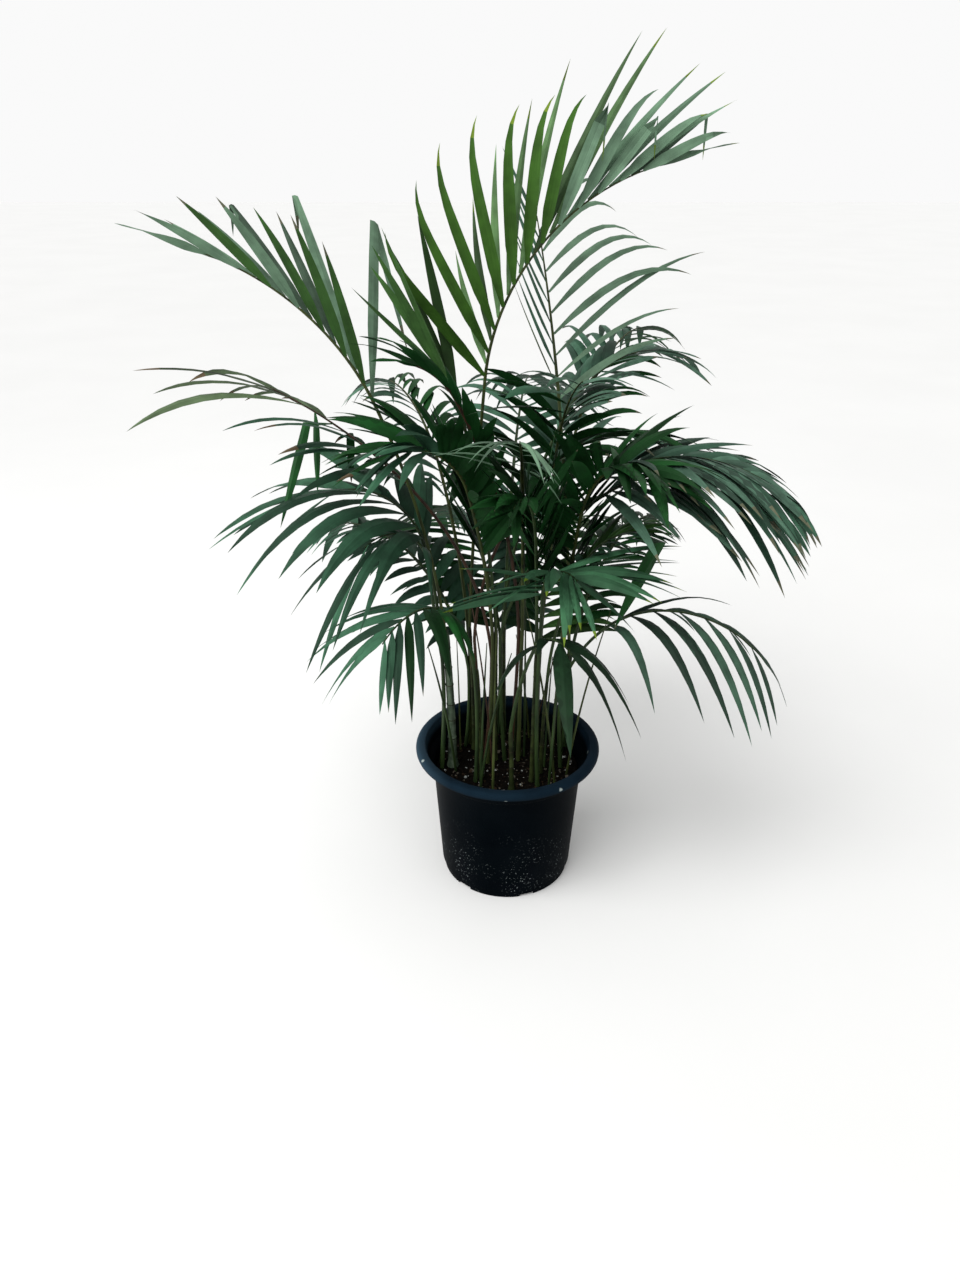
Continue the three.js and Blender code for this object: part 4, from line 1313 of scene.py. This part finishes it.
def leaflet_faces(count):
    """A leaflet's faces from its foot to its tip, by the numbers of its corners."""
    faces = [(3, 2, 1, 0)]
    for low in range(0, 4 * (count - 1), 4):
        for corner, after in RING_FACES:
            faces.append((low + corner, low + after, low + 4 + after, low + 4 + corner))
    low = 4 * (count - 1)
    for corner, after in RING_FACES:
        faces.append((low + corner, low + after, 4 * count))
    return faces


LEAFLET_FACES = leaflet_faces(len(LEAFLET_REACHES))
FOOT_FACES = 1 + len(RING_FACES)


def crossings(body, other):
    """How many faces of two leaflets cross. A body is its lowest corner, its highest and its search tree."""
    low, high, tree = body
    other_low, other_high, other_tree = other
    if (low < other_high).all() and (high > other_low).all():
        return len(tree.overlap(other_tree))
    return 0


def settle_leaflet(rule, foot, station, room):
    """Tries ways round its neighbours in turn, and keeps the one that crosses fewest faces. It stays in
    the box and clear of the limbs, its own included past its foot, or it is left out."""
    best = None
    low, high = room["box"]
    for change, scale in LEAFLET_TRIES:
        rings, tip = leaflet_rings(rule, foot, station, change, scale)
        corners = [corner for ring in rings for corner in ring] + [tip]
        points = np.array(corners)
        if (points < low).any() or (points > high).any():
            continue
        tree = BVHTree.FromPolygons(corners, LEAFLET_FACES)
        outer = BVHTree.FromPolygons(corners, LEAFLET_FACES[FOOT_FACES:])
        if touches(tree, room["limbs"]) or touches(outer, room["own"]):
            continue
        body = (points.min(axis=0), points.max(axis=0), tree)
        hits = sum(crossings(body, other) for other in room["leaves"])
        if best is None or hits < best["hits"]:
            best = dict(hits=hits, rings=rings, tip=tip, body=body, length=rule["length"] * scale)
        if hits == 0:
            break
    return best


def deal_finish(values, share, foot, luck):
    """The finish of a leaflet, darker deep in the crown as painted shade. A pair of tints changes over along
    the frond.
    """
    tint = values["tint"]
    if isinstance(tint, tuple):
        tint = tint[luck.random() < smooth_share(share, *TINT_CHANGE)]
    # Deep in the crown the odds move to darker shades: painted shade
    outer = max(values["lit"], smooth_share((foot - CROWN_MIDDLE).length, *CROWN_DEPTHS))
    odds = [odd + change * outer for odd, change in zip(SHADE_ODDS, SHADE_ODDS_CHANGE)]
    shade = luck.choices(list(LEAF_SHADES), odds)[0]
    return f"{tint}_{shade}", f"{tint}_under"


def add_leaflet(heap, rule, best, finishes, end, end_rings):
    """Skins a leaflet in its upper and under finish. An end finish takes its last rings and its tip."""
    grain = rule["grain"]
    first_ended = len(LEAFLET_REACHES) + 1 - end_rings
    low = None
    for level, (reach, ring) in enumerate(zip(LEAFLET_REACHES, best["rings"])):
        half = rule["width"] * fullness(reach, rule["point"]) / 2
        v = grain + reach * best["length"]
        high = add_ring(heap, ring, [(half + grain, v), (grain, v), (grain - half, v), (grain, v)])
        upper, under = (end, end) if end and level >= first_ended else finishes
        if low is None:
            add_face(heap, reversed(high), under)
        else:
            skin(heap, low, high, (upper, upper, under, under))
        low = high
    point = add_ring(heap, [best["tip"]], [(grain, grain + best["length"])])[0]
    upper, under = (end, end) if end else finishes
    for corner, after in RING_FACES:
        add_face(heap, (low[corner], low[after], point), upper if corner < 2 else under)


def grow_leaves(frond, luck, room):
    """The leaflets of one frond, in turn on its right and left flank. The first may sit on its petiole."""
    heap = new_heap()
    petiole, blade = frond_bends(frond)
    slots = 2 * frond["pairs"]
    chance, end, end_rings = TIP_KINDS[frond["tips"]]
    for slot in range(-2 * frond["below"], slots):
        flank = 1 if slot % 2 == 0 else -1
        share = max(0, (slot + 0.5) / slots)
        values = slot_values(frond, slot)
        rule = leaflet_rule(values, share, flank, luck)
        station = on_bend(blade, share * frond["span"])
        if slot < 0:
            station = on_bend(petiole, 1 + (slot + 0.5) / slots * frond["blade"] / frond["petiole"])
        radius = mix((RACHIS_RADIUS, RACHIS_TIP_RADIUS), share)
        aside = station["side"] * (flank * radius * FOOT_ASIDE)
        foot = station["point"] + aside + station["over"] * (radius * FOOT_OVER)
        finishes = deal_finish(values, share, station["point"], luck)
        ended = luck.random() < chance
        best = settle_leaflet(rule, foot, station, room)
        if best is not None:
            room["leaves"].append(best["body"])
            add_leaflet(heap, rule, best, finishes, end if ended else None, end_rings)
    return heap


# Chips on the potting mix

def chip_corners(luck, place, size):
    """The eight corners of one flat, tilted and uneven chip."""
    flat = luck.uniform(*CHIP_FLATNESS)
    yaw = luck.uniform(0, math.pi)
    lean = luck.uniform(-CHIP_LEAN, CHIP_LEAN)
    tilt = luck.uniform(-CHIP_TILT, CHIP_TILT)
    breadth = luck.uniform(*CHIP_BREADTH)
    first = Vector((math.cos(yaw), math.sin(yaw), lean)) * size * 0.5
    second = Vector((-math.sin(yaw), math.cos(yaw), tilt)) * size * breadth
    third = first.cross(second).normalized() * size * flat * 0.5
    centre = Vector((*place, SOIL_Z - CHIP_SINK + size * 0.2))
    corners = []
    for z in (-1, 1):
        for x, y in ((-1, -1), (1, -1), (1, 1), (-1, 1)):
            nudge = Vector([luck.uniform(-CHIP_NUDGE, CHIP_NUDGE) * size for _ in range(3)])
            level = third * z * luck.uniform(*CHIP_UNEVENNESS)
            corners.append(centre + first * x + second * y + level + nudge)
    return corners


def scatter_chips():
    """Bark, grit and dry crumbs on the potting mix, thickest round the middle and clear of the canes."""
    luck = random.Random(CHIP_SEED)
    heap = new_heap()
    canes = [(Vector(cane["foot"]), cane["radius"][0] * CANE_FLARE) for cane in CANES]
    for _ in range(CHIP_COUNT):
        distance = CHIP_FIELD * luck.random() ** 0.6
        turn = luck.uniform(0, 2 * math.pi)
        place = Vector((distance * math.cos(turn), distance * math.sin(turn)))
        sizes = CHIP_SMALL_SIZES if luck.random() < CHIP_SMALL_SHARE else CHIP_LARGE_SIZES
        size = luck.uniform(*sizes)
        if any((place - foot).length < reach + size for foot, reach in canes):
            continue
        corners = chip_corners(luck, place, size)
        kind = luck.choices(list(CHIP_TONES), CHIP_ODDS)[0]
        add_tube(heap, (corners[:4], corners[4:]), kind)
    materials = {kind: chip_material(kind, *tones) for kind, tones in CHIP_TONES.items()}
    return heap_piece("bark_chips", heap, materials, SOFT_CHIP)


# The scene

def present(piece, nodes=()):
    """Puts a finished piece on the plant, in place of the solids that it stands for."""
    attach(piece, BODY)
    if nodes:
        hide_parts(*nodes)


def build_canes():
    """All the canes. Gives back their corners and faces, for what grows between them."""
    thick = cane_material("cane_bloom", (44, 62, 44), (98, 112, 94), 60.0)
    thin = cane_material("cane_olive", (22, 32, 14), (54, 64, 28), 60.0)
    ring = cane_material("cane_ring", (26, 22, 14), (58, 52, 34), 90.0)
    limbs = []
    for number, cane in enumerate(CANES, 1):
        piece = model_cane(number, cane, (thick if number == 1 else thin, ring))
        present(piece, [f"cane_{number}"])
        corners = [vertex.co / MM for vertex in piece.data.vertices]
        limbs.append(dict(corners=corners, faces=[tuple(face.vertices) for face in piece.data.polygons]))
    return limbs


def build_stalks(stalks, shoots):
    materials = {word: stalk_material(f"stalk_{word}", *tones) for word, tones in STALK_TINTS.items()}
    present(heap_piece("young_shoots", shoots, materials, SOFT_STALK))
    for frond, stalk in zip(FRONDS, stalks):
        name = frond["name"]
        piece = heap_piece(f"stalk_{name}", stalk, {"stalk": materials[frond["stalk"]]}, SOFT_STALK)
        nodes = [node for node in (f"petiole_{name}", f"frond_{name}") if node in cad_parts]
        present(piece, nodes)


def build_leaves(stalks, limbs):
    """Each frond's leaflets, inside the CAD model's box and clear of the limbs."""
    materials = make_leaf_materials()
    box = (np.array(CAD_BOX[0]) / MM + BOX_MARGIN, np.array(CAD_BOX[1]) / MM - BOX_MARGIN)
    leaves = []
    for number, (frond, stalk) in enumerate(zip(FRONDS, stalks)):
        others = [other for other in stalks if other is not stalk]
        room = dict(box=box, limbs=limb_tree(limbs + others), own=limb_tree([stalk]), leaves=leaves)
        heap = grow_leaves(frond, random.Random(LEAF_SEED + number), room)
        piece = heap_piece(f"leaves_{frond['name']}", heap, materials, SOFT_LEAF)
        present(piece, [f"frond_{frond['name']}"])


def build_palm():
    present(model_pot(), ["pot"])
    present(model_soil(), ["soil"])
    present(scatter_chips())
    canes = build_canes()
    stalks = [grow_stalk(frond) for frond in FRONDS]
    shoots = grow_shoots(canes + stalks)
    build_stalks(stalks, shoots)
    build_leaves(stalks, [*canes, shoots])


def make_stage():
    """A plain pale floor in plain white air."""
    bpy.ops.object.select_all(action="DESELECT")
    bpy.ops.mesh.primitive_plane_add(size=FLOOR_SIZE)
    floor = bpy.context.object
    floor.name = "studio_floor"
    floor.data.materials.append(floor_material())
    world = bpy.data.worlds.new("studio_air")
    world.use_nodes = True
    background = world.node_tree.nodes["Background"]
    background.inputs["Color"].default_value = WHITE
    background.inputs["Strength"].default_value = AIR_STRENGTH
    bpy.context.scene.world = world
    bpy.context.scene.view_settings.view_transform = "Standard"


def add_lamp(name, kind, power):
    light = bpy.data.lights.new(name, kind)
    light.energy = power
    return add_object(name, light)


def add_lights():
    """A wide soft sun from the upper left, and a soft box low on the left."""
    sky = add_lamp("sky_lamp", "SUN", SKY_POWER)
    sky.data.angle = math.radians(SKY_SPREAD)
    sky.rotation_euler = [math.radians(turn) for turn in SKY_TURNS]
    side = add_lamp("side_light", "AREA", SIDE_LIGHT_POWER)
    side.data.size = SIDE_LIGHT_SIZE
    side.location = SIDE_LIGHT_PLACE
    aim = Vector(SIDE_LIGHT_AIM) - Vector(SIDE_LIGHT_PLACE)
    side.rotation_mode = "QUATERNION"
    side.rotation_quaternion = aim.to_track_quat("-Z", "Y")


def add_camera():
    """The photograph's viewing angle: 27 degrees down, with the long side of the picture upright."""
    camera = bpy.data.cameras.new("front_view")
    camera.lens = CAMERA_LENS
    camera.sensor_width = CAMERA_SENSOR
    eye = add_object("front_view", camera)
    eye.location = CAMERA_PLACE
    eye.rotation_euler = (math.radians(CAMERA_TILT), 0, 0)
    bpy.context.scene.camera = eye


build_palm()
make_stage()
add_lights()
add_camera()
